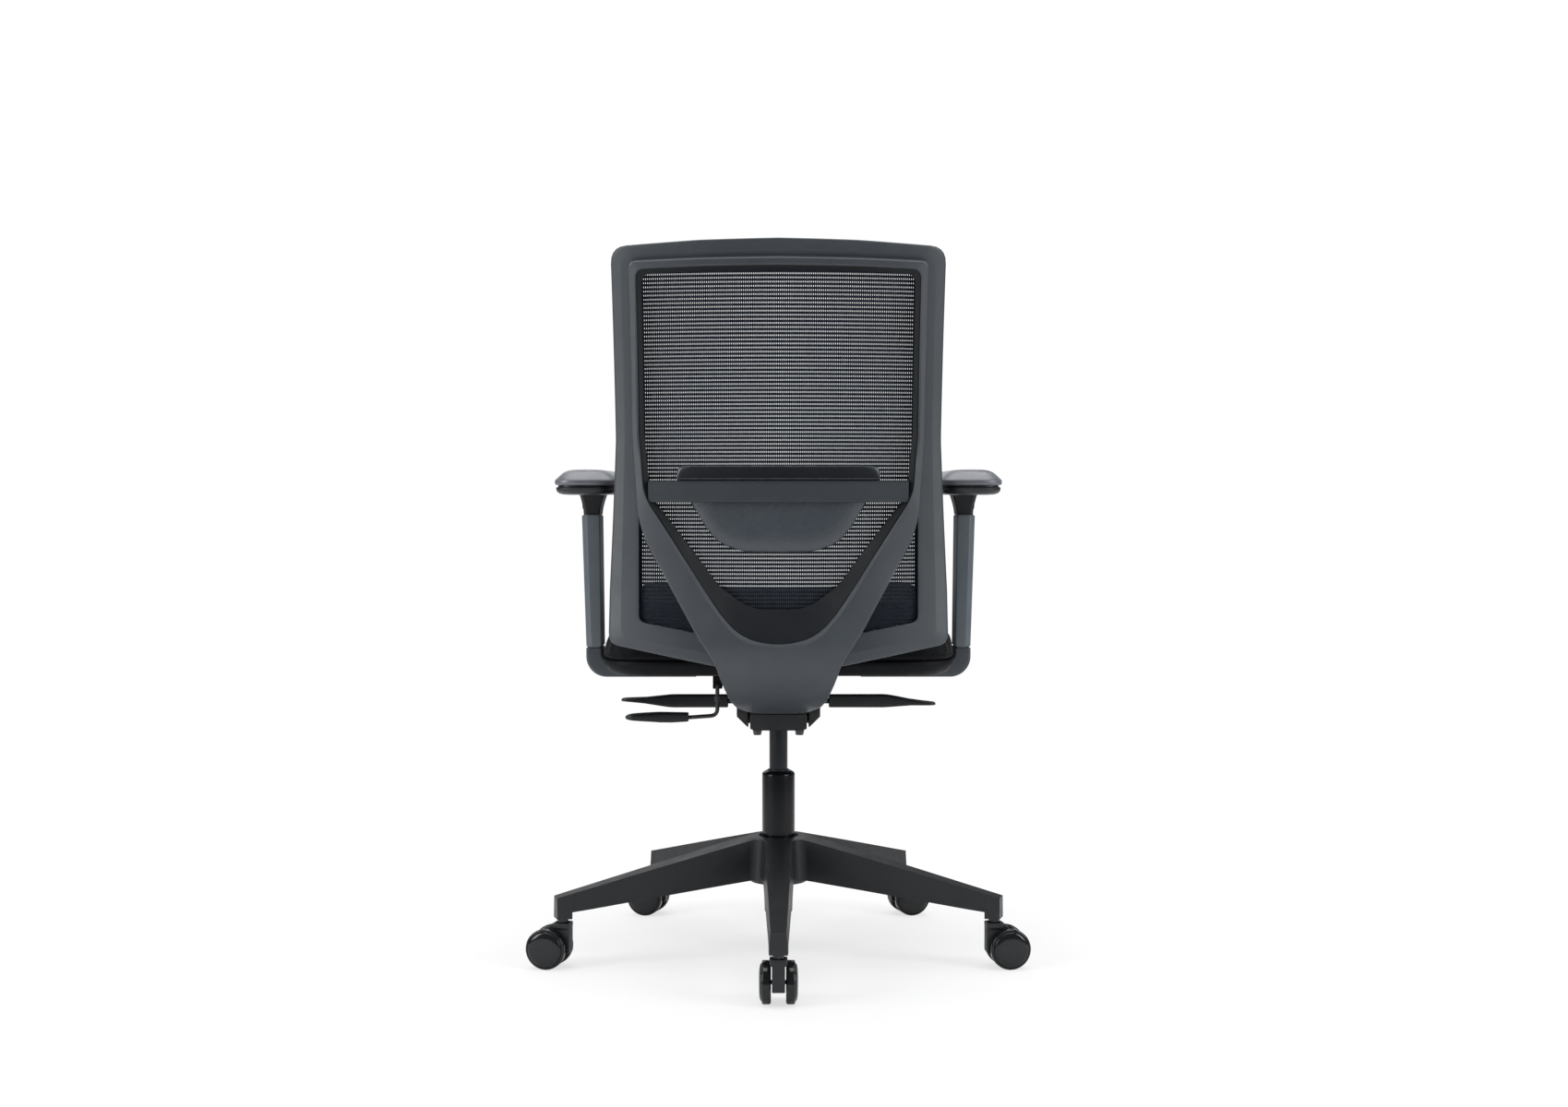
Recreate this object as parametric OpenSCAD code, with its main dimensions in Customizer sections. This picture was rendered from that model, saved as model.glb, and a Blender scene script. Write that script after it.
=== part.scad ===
// Swivel office chair: mesh back on a Y-shaped spine, padded seat on a synchronised tilt
// mechanism, height-adjustable arms, gas lift and a five-arm base on twin-wheel casters.
// Millimetres. The floor is z = 0 and the column stands on the origin. The sitter faces -Y,
// and the sitter's left hand is at +X.

/* [Base] */
// Distance from the column to each caster stem
stem_reach = 335; // [310:5:345]
// Height of the top of the hub
hub_top = 180; // [180:1:190]
// Height of the upper edge of each arm at its tip
tip_top = 106; // [106:1:114]
// Width of each arm at its tip
tip_w = 26; // [24:1:30]
// Width of each arm at the hub
root_w = 38; // [34:1:42]

/* [Casters] */
// Wheel diameter
wheel_d = 60; // [56:1:60]
// Width across the two wheels of a caster
caster_w = 55; // [52:1:60]
// Distance from the stem to the wheel axle, seen from above
trail = 21; // [20:1:23]

/* [Column] */
// Outer diameter of the column tube
tube_d = 50; // [48:1:52]
// Diameter of the gas cylinder
gas_d = 28; // [27:0.5:28.5]
// Height of the top of the column tube
tube_top = 280; // [270:1:290]

/* [Mechanism] */
// Width of the mechanism housing
housing_w = 124; // [120:1:128]
// Height of the underside of the housing
housing_z = 356; // [352:1:356]
// Distance of the back's pivot behind the column
back_pivot_y = 50; // [49:0.5:51]
// Distance of the seat's pivot in front of the column
seat_pivot_y = 80; // [76:1:84]

/* [Seat] */
// Width of the seat
seat_w = 524; // [500:2:526]
// Front edge of the seat, in front of the column
seat_front = 285; // [260:5:300]
// Rear edge of the seat, behind the column
seat_rear = 165; // [155:1:168]
// Height of the cushion's top at its rear edge
seat_top = 540; // [530:1:550]
// How much higher the cushion's top is at its front edge
seat_rise = 22; // [0:1:26]

/* [Arms] */
// Distance from the middle of the chair to the middle of each arm post
arm_x = 281; // [280:0.5:282]
// Height of the top of the arm pads
pad_top = 739; // [737:1:745]
// Length of an arm pad
pad_l = 255; // [230:5:270]

/* [Back] */
// Height of the top of the back
back_top = 1056; // [1050:1:1064]
// Half of the width of the back
back_half_w = 235; // [232:1:237]
// Radius of the back's wrap around the sitter, seen from above
wrap_r = 680; // [660:10:720]
// Height of the point of the back that lies farthest forward
lumbar_z = 620; // [610:5:630]
// Distance of that point behind the column
lumbar_y = 212; // [210:1:216]
// How far the top of the back leans behind that point
back_lean = 73; // [65:1:78]

/* [Hidden] */
ARMS = 5;
SIDES = ["left", "right"];

$fn = 64;
// Radial play of a running fit, and the gap left between parts that slide past each other
play = 0.05;
gap = 0.3;
// Longer than any cut has to be
far = 700;

nylon = "#2b2d30";
shell_grey = "#42464b";
black = "#17181b";
steel = "#9a9da2";

// Base
stem_r = 5.5;
socket_bottom = 74;
socket_depth = 24;
hub_r = 38;
hub_bottom = 110;
tip_reach = stem_reach + 11;
arm_under_root = 117;
arm_under_tip = 84;

// Column
tube_bottom = 62;
tube_taper = 3.4;
tube_wall = 1.6;
bush_bottom = 200;
bearing_z = 67;
bearing_h = 6;
rod_r = 5;
piston_z = 205;
gas_bottom = 135;
gas_top = 374;
valve_h = 7.4;

// Casters: the angle of each stem on the base, and the way its wheels trail at rest
axle_z = wheel_d / 2;
axle_r = 3;
caster_top = 68;
web_w = 18;
wheel_w = (caster_w - 20.7) / 2;
TRAIL_HEADING = [-90, 188, 197, -17, -13];

// Mechanism
ear_w = 17;
wall = 4;
housing_front = -125;
housing_top = 396;
back_pivot_z = 385;
seat_pivot_z = 401;
back_pin_r = 6;
seat_pin_r = 5;
ear_r = 44;
lever_z = 386;
lever_pivot_x = 30;
lever_rod_r = 4.3;
lever_pin_r = 2.5;
knob_y = -75;

// Seat
pan_z = 446;
pan_h = 12;
plate_z = 428;
plate_h = 3;
plate_half_w = 72;
plate_rear = 96;
wire_r = 3;
wire_x = 91;
wire_y = 80;
wire_z = 416;

// Arms
sleeve_z = 470;
sleeve_top = 671;
stem_w = 14;
stem_d = 40;
neck_top = 701;
bracket_z = 425;
screw_x = [150, 205];
screw_y = [-18, 18];
screw_r = 3;
screw_head_r = 6;
screw_head_h = 3.5;
screw_sink = 0.5;

// Back
frame_half_d = 7;
ring_rear = 24;
mesh_half_t = 1;
crossbar_z = [690, 721];
bolt_x = 31;
bolt_y = 121;
bolt_r = 4;
bolt_head_h = 7.5;

function arm_angle(i) = 90 + (i - 1) * 360 / ARMS;
function arc(c, r, a, b, n = 6) = [for (k = [0:n]) c + r * [cos(a + (b - a) * k / n), sin(a + (b - a) * k / n)]];
function mirrored(half) = concat(half, [for (k = [len(half) - 1:-1:0]) if (half[k].x > 0) [-half[k].x, half[k].y]]);
function mirrored_y(half) = concat(half, [for (k = [len(half) - 1:-1:0]) [half[k].x, -half[k].y]]);
function round_rect(x0, x1, y0, y1, r) = concat(
    arc([x1 - r, y1 - r], r, 90, 0), arc([x1 - r, y0 + r], r, 0, -90),
    arc([x0 + r, y0 + r], r, -90, -180), arc([x0 + r, y1 - r], r, 180, 90)
);
// Distance of the middle of the mesh behind the column at height z, on the chair's centre line
function mesh_y(z) = lumbar_y + back_lean * pow((z - lumbar_z) / (back_top - lumbar_z), 2);
// Side view of a layer of the back: between two offsets from the mesh, over a range of heights
function layer(front, rear, z0, z1, n = 8) = concat(
    [for (k = [0:n]) let (z = z0 + (z1 - z0) * k / n) [mesh_y(z) + front, z]],
    [for (k = [n:-1:0]) let (z = z0 + (z1 - z0) * k / n) [mesh_y(z) + rear, z]]
);

module along_x(length) { rotate([90, 0, 90]) translate([0, 0, -length / 2]) linear_extrude(length) children(); }
module along_y(length) { rotate([90, 0, 0]) translate([0, 0, -length / 2]) linear_extrude(length) children(); }
module rod_x(r, x0, x1) { translate([x0, 0, 0]) rotate([0, 90, 0]) cylinder(r = r, h = x1 - x0); }
module rod_y(r, y0, y1) { translate([0, y1, 0]) rotate([90, 0, 0]) cylinder(r = r, h = y1 - y0); }
module tube_ring(outer, inner, z0, z1) {
    difference() {
        translate([0, 0, z0]) cylinder(r = outer, h = z1 - z0);
        translate([0, 0, z0 - 1]) cylinder(r = inner, h = z1 - z0 + 2);
    }
}
// A side view of the back, swept round the sitter
module wrapped(side_view) {
    sweep = 50;
    centre = lumbar_y - wrap_r;
    translate([0, centre, 0])
        rotate(90 - sweep / 2)
            rotate_extrude(angle = sweep, $fn = 240) polygon([for (p = side_view) [p.x - centre, p.y]]);
}
// The outline of something seen from behind, as a block that runs through the whole chair
module seen_from_behind(outline) { along_y(2 * far) polygon(outline); }
module on_side(side) { mirror([side == "right" ? 1 : 0, 0, 0]) children(); }

// ---------- base ----------

module base_arm() {
    underside = [[0, hub_bottom], [50, arm_under_root], [tip_reach - 25, arm_under_tip]];
    tip = [[tip_reach - 25, socket_bottom], [tip_reach + 1, socket_bottom], [tip_reach, tip_top]];
    intersection() {
        rotate([90, 0, 0]) translate([0, 0, -far / 2]) linear_extrude(far)
            polygon(concat(underside, tip, [[hub_r, hub_top], [0, hub_top]]));
        translate([0, 0, socket_bottom - 1]) linear_extrude(hub_top)
            polygon([[0, root_w / 2], [hub_r, root_w / 2], [tip_reach + 2, tip_w / 2],
                     [tip_reach + 2, -tip_w / 2], [hub_r, -root_w / 2], [0, -root_w / 2]]);
    }
}
module tube_cone(grow = 0) {
    translate([0, 0, tube_bottom])
        cylinder(r1 = tube_d / 2 - tube_taper + grow, r2 = tube_d / 2 + grow, h = hub_top - tube_bottom);
}
module base_star() color(nylon) {
    difference() {
        union() {
            translate([0, 0, hub_bottom]) cylinder(r = hub_r, h = hub_top - hub_bottom);
            for (i = [1:ARMS]) rotate(arm_angle(i)) base_arm();
        }
        tube_cone();
        translate([0, 0, hub_top - 0.5]) cylinder(r = tube_d / 2, h = 2);
        for (i = [1:ARMS]) rotate(arm_angle(i)) translate([stem_reach, 0, socket_bottom - 1])
            cylinder(r = stem_r + play, h = socket_depth + 1);
    }
}

// ---------- column ----------

module gas_outer_tube() color(black) {
    inner = tube_d / 2 - tube_wall;
    lower_inner = inner - tube_taper;
    shoulder = 5;
    difference() {
        union() {
            tube_cone();
            translate([0, 0, hub_top]) cylinder(r = tube_d / 2, h = tube_top - shoulder - hub_top);
            translate([0, 0, tube_top - shoulder]) cylinder(r1 = tube_d / 2, r2 = tube_d / 2 - 2, h = 3);
            translate([0, 0, tube_top - 2]) cylinder(r1 = tube_d / 2 - 2, r2 = tube_d / 2 - shoulder, h = 2);
        }
        translate([0, 0, tube_bottom + 3]) cylinder(r = lower_inner, h = bush_bottom - tube_bottom - 3);
        translate([0, 0, bush_bottom]) cylinder(r = inner, h = tube_top - 3 - bush_bottom);
        translate([0, 0, tube_bottom - 1]) cylinder(r = rod_r + 1, h = 6);
        translate([0, 0, tube_top - 4]) cylinder(r = gas_d / 2 + 2, h = 6);
    }
}
module guide_bush() color(black) {
    inner = tube_d / 2 - tube_wall;
    tube_ring(inner, gas_d / 2 + play, bush_bottom, tube_top - 3);
    tube_ring(gas_d / 2 + 2, gas_d / 2 + play, tube_top - 3, tube_top + 2);
}
module thrust_bearing() color(steel) {
    tube_ring(15, rod_r + 0.4, bearing_z - 2, bearing_z + bearing_h - 1);
}
module piston_rod() color(steel) {
    translate([0, 0, tube_bottom - 1]) cylinder(r = rod_r, h = piston_z - tube_bottom + 1);
    translate([0, 0, bearing_z + bearing_h - 0.8]) cylinder(r = 10, h = 5);
    translate([0, 0, piston_z]) cylinder(r = gas_d / 2 - 3 - play, h = 12);
}
module gas_cylinder() color(black) {
    difference() {
        translate([0, 0, gas_bottom]) cylinder(r = gas_d / 2, h = gas_top - gas_bottom);
        translate([0, 0, gas_bottom - 1]) cylinder(r = rod_r + play, h = 20);
        translate([0, 0, gas_bottom + 14]) cylinder(r = gas_d / 2 - 3, h = 200);
        translate([0, 0, gas_top - 14]) cylinder(r = 4 + play, h = 15);
    }
}
module valve_pin() color(steel) {
    translate([0, 0, gas_top - 10]) cylinder(r = 4, h = 10 + valve_h);
}

// ---------- mechanism ----------

module housing_side(rear, top) {
    polygon(concat(
        [[housing_front, housing_z + 8], [housing_front + 12, housing_z]],
        [for (a = [-44:11:14]) [back_pivot_y, back_pivot_z] + rear * [cos(a), sin(a)]],
        [[60, top], [20, top], [-40, top + 16], [housing_front, top + 16]]
    ));
}
module housing_front_view() {
    half = housing_w / 2;
    polygon([[-half + 16, housing_z - 1], [half - 16, housing_z - 1], [half, housing_z + 16],
             [half, 500], [-half, 500], [-half, housing_z + 16]]);
}
module mechanism_housing() color(nylon) {
    cavity = housing_w - 2 * ear_w;
    boss_r = 20;
    difference() {
        union() {
            difference() {
                intersection() {
                    along_x(housing_w) housing_side(ear_r, housing_top);
                    along_y(far) housing_front_view();
                }
                translate([-cavity / 2, housing_front + wall, housing_z + wall])
                    cube([cavity, far, far]);
                translate([-cavity / 2, 30, housing_z - 1]) cube([cavity, far, far]);
            }
            translate([0, 0, housing_z]) cylinder(r = boss_r, h = gas_top - housing_z - 1);
            for (s = [-1, 1], y = [-11, 11])
                translate([s * lever_pivot_x - 6, y - 2.5, housing_z])
                    cube([12, 5, lever_z + 6 - housing_z]);
        }
        translate([0, 0, housing_z - 1]) cylinder(r = gas_d / 2, h = 40);
        translate([0, knob_y, housing_z - 1]) cylinder(r = 6 + play, h = wall + 2);
        translate([0, back_pivot_y, back_pivot_z]) rod_x(back_pin_r, -far, far);
        translate([0, -seat_pivot_y, seat_pivot_z]) rod_x(seat_pin_r, -far, far);
        translate([0, 0, lever_z]) rod_x(lever_rod_r + 5, -far, -cavity / 2 + 1);
        translate([0, 0, lever_z]) rod_x(lever_rod_r + 5, cavity / 2 - 1, far);
        for (s = [-1, 1]) translate([s * lever_pivot_x, 0, lever_z]) rod_y(lever_pin_r, -20, 20);
    }
}
module pivot_pins() color(steel) {
    half = housing_w / 2;
    translate([0, back_pivot_y, back_pivot_z]) rod_x(back_pin_r, -half - 1, half + 1);
    translate([0, -seat_pivot_y, seat_pivot_z]) rod_x(seat_pin_r, -half - 8, half + 8);
    for (s = [-1, 1]) translate([s * lever_pivot_x, 0, lever_z]) rod_y(lever_pin_r, -13.5, 13.5);
}
// One ring of the spring wire's skin, k steps along a coil that turns about the Y axis
function coil_ring(k, steps, per_turn, length, coil_r, wire, sides) =
    let (a = 360 * k / per_turn, y = -length / 2 + length * k / steps)
    [for (j = [0:sides - 1]) let (b = 360 * j / sides, r = coil_r + wire * cos(b))
        [r * cos(a), y + wire * sin(b), r * sin(a)]];
module tilt_spring() color(steel) {
    coil_r = 11;
    wire = 2;
    per_turn = 14;
    sides = 6;
    steps = 7 * per_turn;
    points = [for (k = [0:steps]) each coil_ring(k, steps, per_turn, 76, coil_r, wire, sides)];
    skin = [for (k = [0:steps - 1], j = [0:sides - 1]) let (n = (j + 1) % sides)
        [k * sides + j, k * sides + n, (k + 1) * sides + n, (k + 1) * sides + j]];
    ends = [[for (j = [sides - 1:-1:0]) j], [for (j = [0:sides - 1]) steps * sides + j]];
    translate([0, -64, housing_z + wall + coil_r + wire + 1]) polyhedron(points, concat(skin, ends));
}
module tension_knob() color(black) {
    grip_r = 25;
    grip_z = housing_z - 16;
    translate([0, knob_y, 0]) {
        difference() {
            translate([0, 0, grip_z]) cylinder(r = grip_r, h = 12);
            for (a = [0:30:330]) rotate(a) translate([grip_r + 2, 0, grip_z - 1]) cylinder(r = 4, h = 14);
        }
        translate([0, 0, grip_z + 12]) cylinder(r = 6, h = housing_z - grip_z - 12 + wall);
    }
}
module lever_rod(inner_x) {
    eye_r = 6.5;
    difference() {
        union() {
            rod_x(lever_rod_r, inner_x, 82);
            translate([lever_pivot_x, 0, 0]) rod_y(eye_r, -8, 8);
        }
        translate([lever_pivot_x, 0, 0]) rod_y(lever_pin_r + play, -9, 9);
    }
}
// A paddle that is tall beside the mechanism and turns flat towards its tip
module lever_blade(tip_drop) {
    inner = 77;
    outer = 240;
    height = 20;
    side = [[inner, height / 2], [inner, -height / 2], [164, -height / 2 + 1], [205, -5 - tip_drop / 2],
            [outer - 3, -3 - tip_drop], [outer, -tip_drop], [outer - 3, 3 - tip_drop],
            [205, 5 - tip_drop / 2], [164, height / 2 - 1]];
    difference() {
        intersection() {
            along_y(60) polygon(side);
            translate([0, 0, -50]) linear_extrude(100)
                polygon(mirrored_y([[inner, 8], [155, 8], [195, 17], [228, 17], [outer, 10]]));
        }
        rod_x(lever_rod_r, inner - 1, 82);
    }
}
module height_lever_rod() color(steel) { translate([0, 0, lever_z]) on_side("right") lever_rod(-4); }
module height_lever_blade() color(black) { translate([0, 0, lever_z]) on_side("right") lever_blade(4); }
module tilt_lever_rod() color(steel) { translate([0, 0, lever_z]) lever_rod(22); }
module tilt_lever_blade() color(black) { translate([0, 0, lever_z]) lever_blade(-2); }

// ---------- seat ----------

module seat_tilt_plate() color(steel) {
    lug_x = housing_w / 2 + gap;
    lug_t = 4;
    difference() {
        union() {
            translate([-plate_half_w, -seat_pivot_y - 30, plate_z])
                cube([2 * plate_half_w, seat_pivot_y + 30 + plate_rear, plate_h]);
            for (s = [-1, 1]) translate([s * (lug_x + lug_t / 2), -seat_pivot_y, 0]) along_x(lug_t)
                polygon(concat([[-18, plate_z + 1]], arc([0, seat_pivot_z], 10, 200, 340),
                               [[18, plate_z + 1]]));
        }
        translate([0, -seat_pivot_y, seat_pivot_z]) rod_x(seat_pin_r + play, -far, far);
    }
}
function seat_outline(inset) = concat(
    arc([seat_w / 2 - 80, seat_rear - 80], 80 - inset, 90, 0),
    arc([seat_w / 2 - 100, -seat_front + 100], 100 - inset, 0, -90),
    arc([-seat_w / 2 + 100, -seat_front + 100], 100 - inset, -90, -180),
    arc([-seat_w / 2 + 80, seat_rear - 80], 80 - inset, 180, 90)
);
module guide_rail() {
    length = 200;
    side_t = 6;
    lip = 6;
    translate([plate_half_w + gap, -length / 2, plate_z - 3]) cube([side_t, length, pan_z - plate_z + 4]);
    translate([plate_half_w + gap - lip, -length / 2, plate_z - 3]) cube([lip + 1, length, 3 - gap]);
}
module seat_shell() color(black) {
    apron_h = 10;
    apron_y = seat_rear - 34;
    wire_half = 13;
    wire_block = 4.5;
    difference() {
        union() {
            translate([0, 0, pan_z]) linear_extrude(pan_h) polygon(seat_outline(8));
            guide_rail();
            mirror([1, 0, 0]) guide_rail();
            intersection() {
                translate([0, 0, pan_z - apron_h]) linear_extrude(apron_h + 1) polygon(seat_outline(24));
                translate([-far / 2, apron_y, 0]) cube([far, 34, far]);
            }
            translate([wire_x - 7, wire_y - 6 - 2 * wire_half, wire_z - wire_block])
                cube([14, 2 * wire_half, pan_z - wire_z + wire_block + 1]);
        }
        translate([wire_x, wire_y, wire_z]) rod_y(wire_r + play, -far, 0);
    }
}
// Side view of the space under a plane that rises towards the front of the seat
function under_crown(drop) = [
    [-seat_front - 1, pan_z + pan_h], [seat_rear + 1, pan_z + pan_h],
    [seat_rear + 1, seat_top - drop], [-seat_front - 1, seat_top + seat_rise - drop]
];
module cushion_layer(inset, drop) {
    intersection() {
        linear_extrude(far) polygon(seat_outline(inset));
        along_x(far) polygon(under_crown(drop));
    }
}
module seat_cushion() color(black) {
    crown = 16;
    cushion_layer(0, crown);
    cushion_layer(16, 0);
}
module seat_screws() color(steel) {
    for (s = [-1, 1], x = screw_x, y = screw_y) translate([s * x, y, bracket_z + screw_sink]) {
        cylinder(r = screw_head_r, h = screw_head_h);
        cylinder(r = screw_r, h = 26);
    }
}
module slide_lever_wire() color(steel) {
    bends = [[0, 0, 0], [0, 0, wire_z - 384], [6, 0, wire_z - 376], [50, 0, wire_z - 369.5]];
    translate([wire_x, wire_y, wire_z]) {
        rod_y(wire_r, -34, 0);
        for (k = [0:2]) let (a = bends[k], b = bends[k + 1], d = norm(b - a), tilt = atan2(b.x - a.x, b.z - a.z)) {
            translate([a.x, 0, -a.z]) sphere(r = wire_r + 0.4);
            translate([a.x, 0, -a.z]) rotate([0, 180 - tilt, 0]) cylinder(r = wire_r, h = d);
        }
    }
}
module slide_lever_paddle() color(black) {
    side = [[wire_x + 43, 377], [wire_x + 43, 363.5], [wire_x + 67, 361], [wire_x + 99, 365],
            [wire_x + 131, 365], [wire_x + 137, 370], [wire_x + 131, 375.5], [wire_x + 89, 378]];
    plan = [[wire_x + 43, 7], [wire_x + 75, 9], [wire_x + 100, 17], [wire_x + 128, 17], [wire_x + 137, 9]];
    difference() {
        intersection() {
            translate([0, wire_y, 0]) along_y(60) polygon(side);
            translate([0, wire_y, 300]) linear_extrude(100) polygon(mirrored_y(plan));
        }
        slide_lever_wire();
    }
}

// ---------- arms ----------

module arm_bracket() {
    half_d = 30;
    thick = 20.7;
    inner = arm_x - 13.5;
    outer = arm_x + 10.4;
    corner = 27;
    profile = concat(
        [[125, bracket_z]], arc([outer - corner, bracket_z + corner], corner, -90, 0),
        [[outer, sleeve_z], [inner, sleeve_z]],
        arc([inner - 10, bracket_z + thick + 10], 10, 0, -90), [[125, bracket_z + thick]]
    );
    difference() {
        along_y(2 * half_d) polygon(profile);
        for (x = screw_x, y = screw_y) translate([x, y, bracket_z - 1]) {
            cylinder(r = screw_r, h = 40);
            cylinder(r = screw_head_r + gap, h = screw_sink + screw_head_h + 1);
        }
    }
}
module arm_sleeve() {
    half_d = 31;
    side = [[arm_x - 13.5, sleeve_z], [arm_x + 10.4, sleeve_z], [arm_x + 16.7, sleeve_top],
            [arm_x - 11.4, sleeve_top]];
    difference() {
        along_y(2 * half_d) polygon(side);
        translate([arm_x - stem_w / 2 - gap, -stem_d / 2 - gap, sleeve_z + 20])
            cube([stem_w + 2 * gap, stem_d + 2 * gap, far]);
    }
}
module arm_stem() {
    neck = [[arm_x - 11, sleeve_top + gap], [arm_x + 14, sleeve_top + gap], [arm_x + 20, neck_top],
            [arm_x - 18, neck_top]];
    difference() {
        union() {
            translate([arm_x - stem_w / 2, -stem_d / 2, 500]) cube([stem_w, stem_d, 180]);
            along_y(54) polygon(neck);
        }
        arm_button_pocket(gap);
    }
}
module arm_button_pocket(grow) {
    translate([arm_x + 5 - grow, -9 - grow, sleeve_top + 9 - grow]) cube([30, 18 + 2 * grow, 14 + 2 * grow]);
}
module arm_button() {
    face = [[arm_x, 0], [arm_x + 16.4, 0], [arm_x + 19.4, 40], [arm_x, 40]];
    intersection() {
        translate([3, 0, 0]) arm_button_pocket(0);
        translate([0, 0, sleeve_top + 2]) along_y(60) polygon(face);
    }
}
module arm_pad_base() {
    translate([0, 0, neck_top]) linear_extrude(14)
        polygon(round_rect(arm_x - 43, arm_x + 48, -pad_l / 2 + 3, pad_l / 2 - 3, 34));
}
module arm_pad() {
    edge = 8;
    low = neck_top + 14;
    translate([0, 0, low]) linear_extrude(pad_top - edge - low)
        polygon(round_rect(arm_x - 45, arm_x + 50, -pad_l / 2, pad_l / 2, 36));
    translate([0, 0, pad_top - edge]) linear_extrude(edge)
        polygon(round_rect(arm_x - 38, arm_x + 43, -pad_l / 2 + 6, pad_l / 2 - 6, 32));
}

// ---------- back ----------

frame_outer = mirrored(concat(
    [[0, back_top], [110, back_top - 2]], arc([back_half_w - 22, back_top - 30], 22, 87, 0),
    [[back_half_w - 2, 780], [back_half_w + 8.5, 565]], arc([back_half_w - 8, 505], 18, 0, -79),
    [[90, 458], [0, 450]]
));
frame_inner = mirrored(concat(
    [[0, back_top - 38], [110, back_top - 39]], arc([back_half_w - 48, back_top - 53], 12, 88, 0),
    arc([back_half_w - 48, 531], 12, 0, -79), [[118, 505], [0, 494]]
));
ring_half_w = back_half_w - 26;
spine_outer = mirrored(concat(
    [[0, back_top - 29], [110, back_top - 30]], arc([ring_half_w - 10, back_top - 42], 10, 88, 0),
    [[ring_half_w - 1, 783], [ring_half_w - 10, 653], [117, 505], [89, 461], [70, 405], [62, 391],
     [40, 381], [0, 378]]
));
upper_window = mirrored(concat(
    [[0, back_top - 47], [110, back_top - 48]], arc([ring_half_w - 33, back_top - 63], 13, 88, 0),
    arc([ring_half_w - 35, crossbar_z[1] + 11], 11, 0, -90), [[0, crossbar_z[1]]]
));
lower_window_front = mirrored([[0, crossbar_z[0]], [172, crossbar_z[0]], [161, 671], [85, 577], [43, 548], [0, 540]]);
lower_window_rear = mirrored([[0, crossbar_z[0]], [178, crossbar_z[0]], [170, 671], [98, 557], [70, 517],
                              [41, 497], [0, 491]]);
// Side view of the spine: the ring's layer above, and a foot that sweeps forward to the mechanism
spine_side = concat(
    [[100, 396], [128, 398], [160, 405], [190, 418], [212, 432], [227, 446]],
    [for (z = [450:70:1031]) [mesh_y(z) + frame_half_d + gap, z]],
    [for (z = [1031:-60:640]) [mesh_y(z) + ring_rear, z]],
    [[238, 600], [244, 560], [248, 520], [249, 480], [242, 450], [222, 422], [190, 401], [160, 389],
     [138, 380], [100, 380]]
);
module back_spine() color(shell_grey) {
    scoop_depth = 16;
    difference() {
        intersection() {
            wrapped(spine_side);
            seen_from_behind(spine_outer);
        }
        seen_from_behind(upper_window);
        seen_from_behind(lower_window_front);
        intersection() {
            wrapped(layer(scoop_depth, 60, 480, 700, 3));
            seen_from_behind(lower_window_rear);
        }
        intersection() {
            wrapped(layer(-20, 14, crossbar_z[0] - 4, crossbar_z[1] + 4, 1));
            translate([-ring_half_w + 26, 0, 0]) cube([2 * (ring_half_w - 26), far, 2 * far]);
        }
        back_bolt_holes();
    }
}
module back_bolt_holes() {
    for (s = [-1, 1]) translate([s * bolt_x, bolt_y, housing_z - 1]) cylinder(r = bolt_r, h = 38);
}
module back_bracket() color(nylon) {
    half_w = 41.5;
    front_view = [[-half_w, housing_z + 3], [-half_w + 6, housing_z], [half_w - 6, housing_z],
                  [half_w, housing_z + 3], [half_w, 500], [-half_w, 500]];
    side = concat(
        [[138, 380], [70, 380]], arc([back_pivot_y, back_pivot_z], 14, 20, 250),
        [[54, housing_z + 8], [66, housing_z], [134, housing_z], [138, housing_z + 4]]
    );
    difference() {
        intersection() {
            along_x(2 * half_w) polygon(side);
            along_y(far) polygon(front_view);
        }
        translate([0, back_pivot_y, back_pivot_z]) rod_x(back_pin_r + play, -far, far);
        back_bolt_holes();
    }
}
module back_bolts() color(black) {
    for (s = [-1, 1]) translate([s * bolt_x, bolt_y, 0]) {
        translate([0, 0, housing_z - bolt_head_h]) cylinder(r1 = 5.6, r2 = 7, h = bolt_head_h);
        translate([0, 0, housing_z]) cylinder(r = bolt_r, h = 35);
    }
}
module mesh_frame() color(shell_grey) {
    difference() {
        intersection() {
            wrapped(layer(-frame_half_d, frame_half_d, 440, 1065, 10));
            seen_from_behind(frame_outer);
        }
        seen_from_behind(frame_inner);
    }
}
module back_mesh() color(black) {
    intersection() {
        wrapped(layer(-mesh_half_t, mesh_half_t, 480, 1030, 10));
        seen_from_behind(frame_inner);
    }
}
lumbar_outline = mirrored(concat(
    [[0, 743]], arc([118, 716], 27, 90, 0), [[124, 690], [106, 660], [84, 634], [62, 623], [0, 620]]
));
module lumbar_pad() color(shell_grey) {
    intersection() {
        wrapped(layer(4, 9, 610, 750, 3));
        seen_from_behind(lumbar_outline);
    }
}

// ---------- casters ----------

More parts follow.
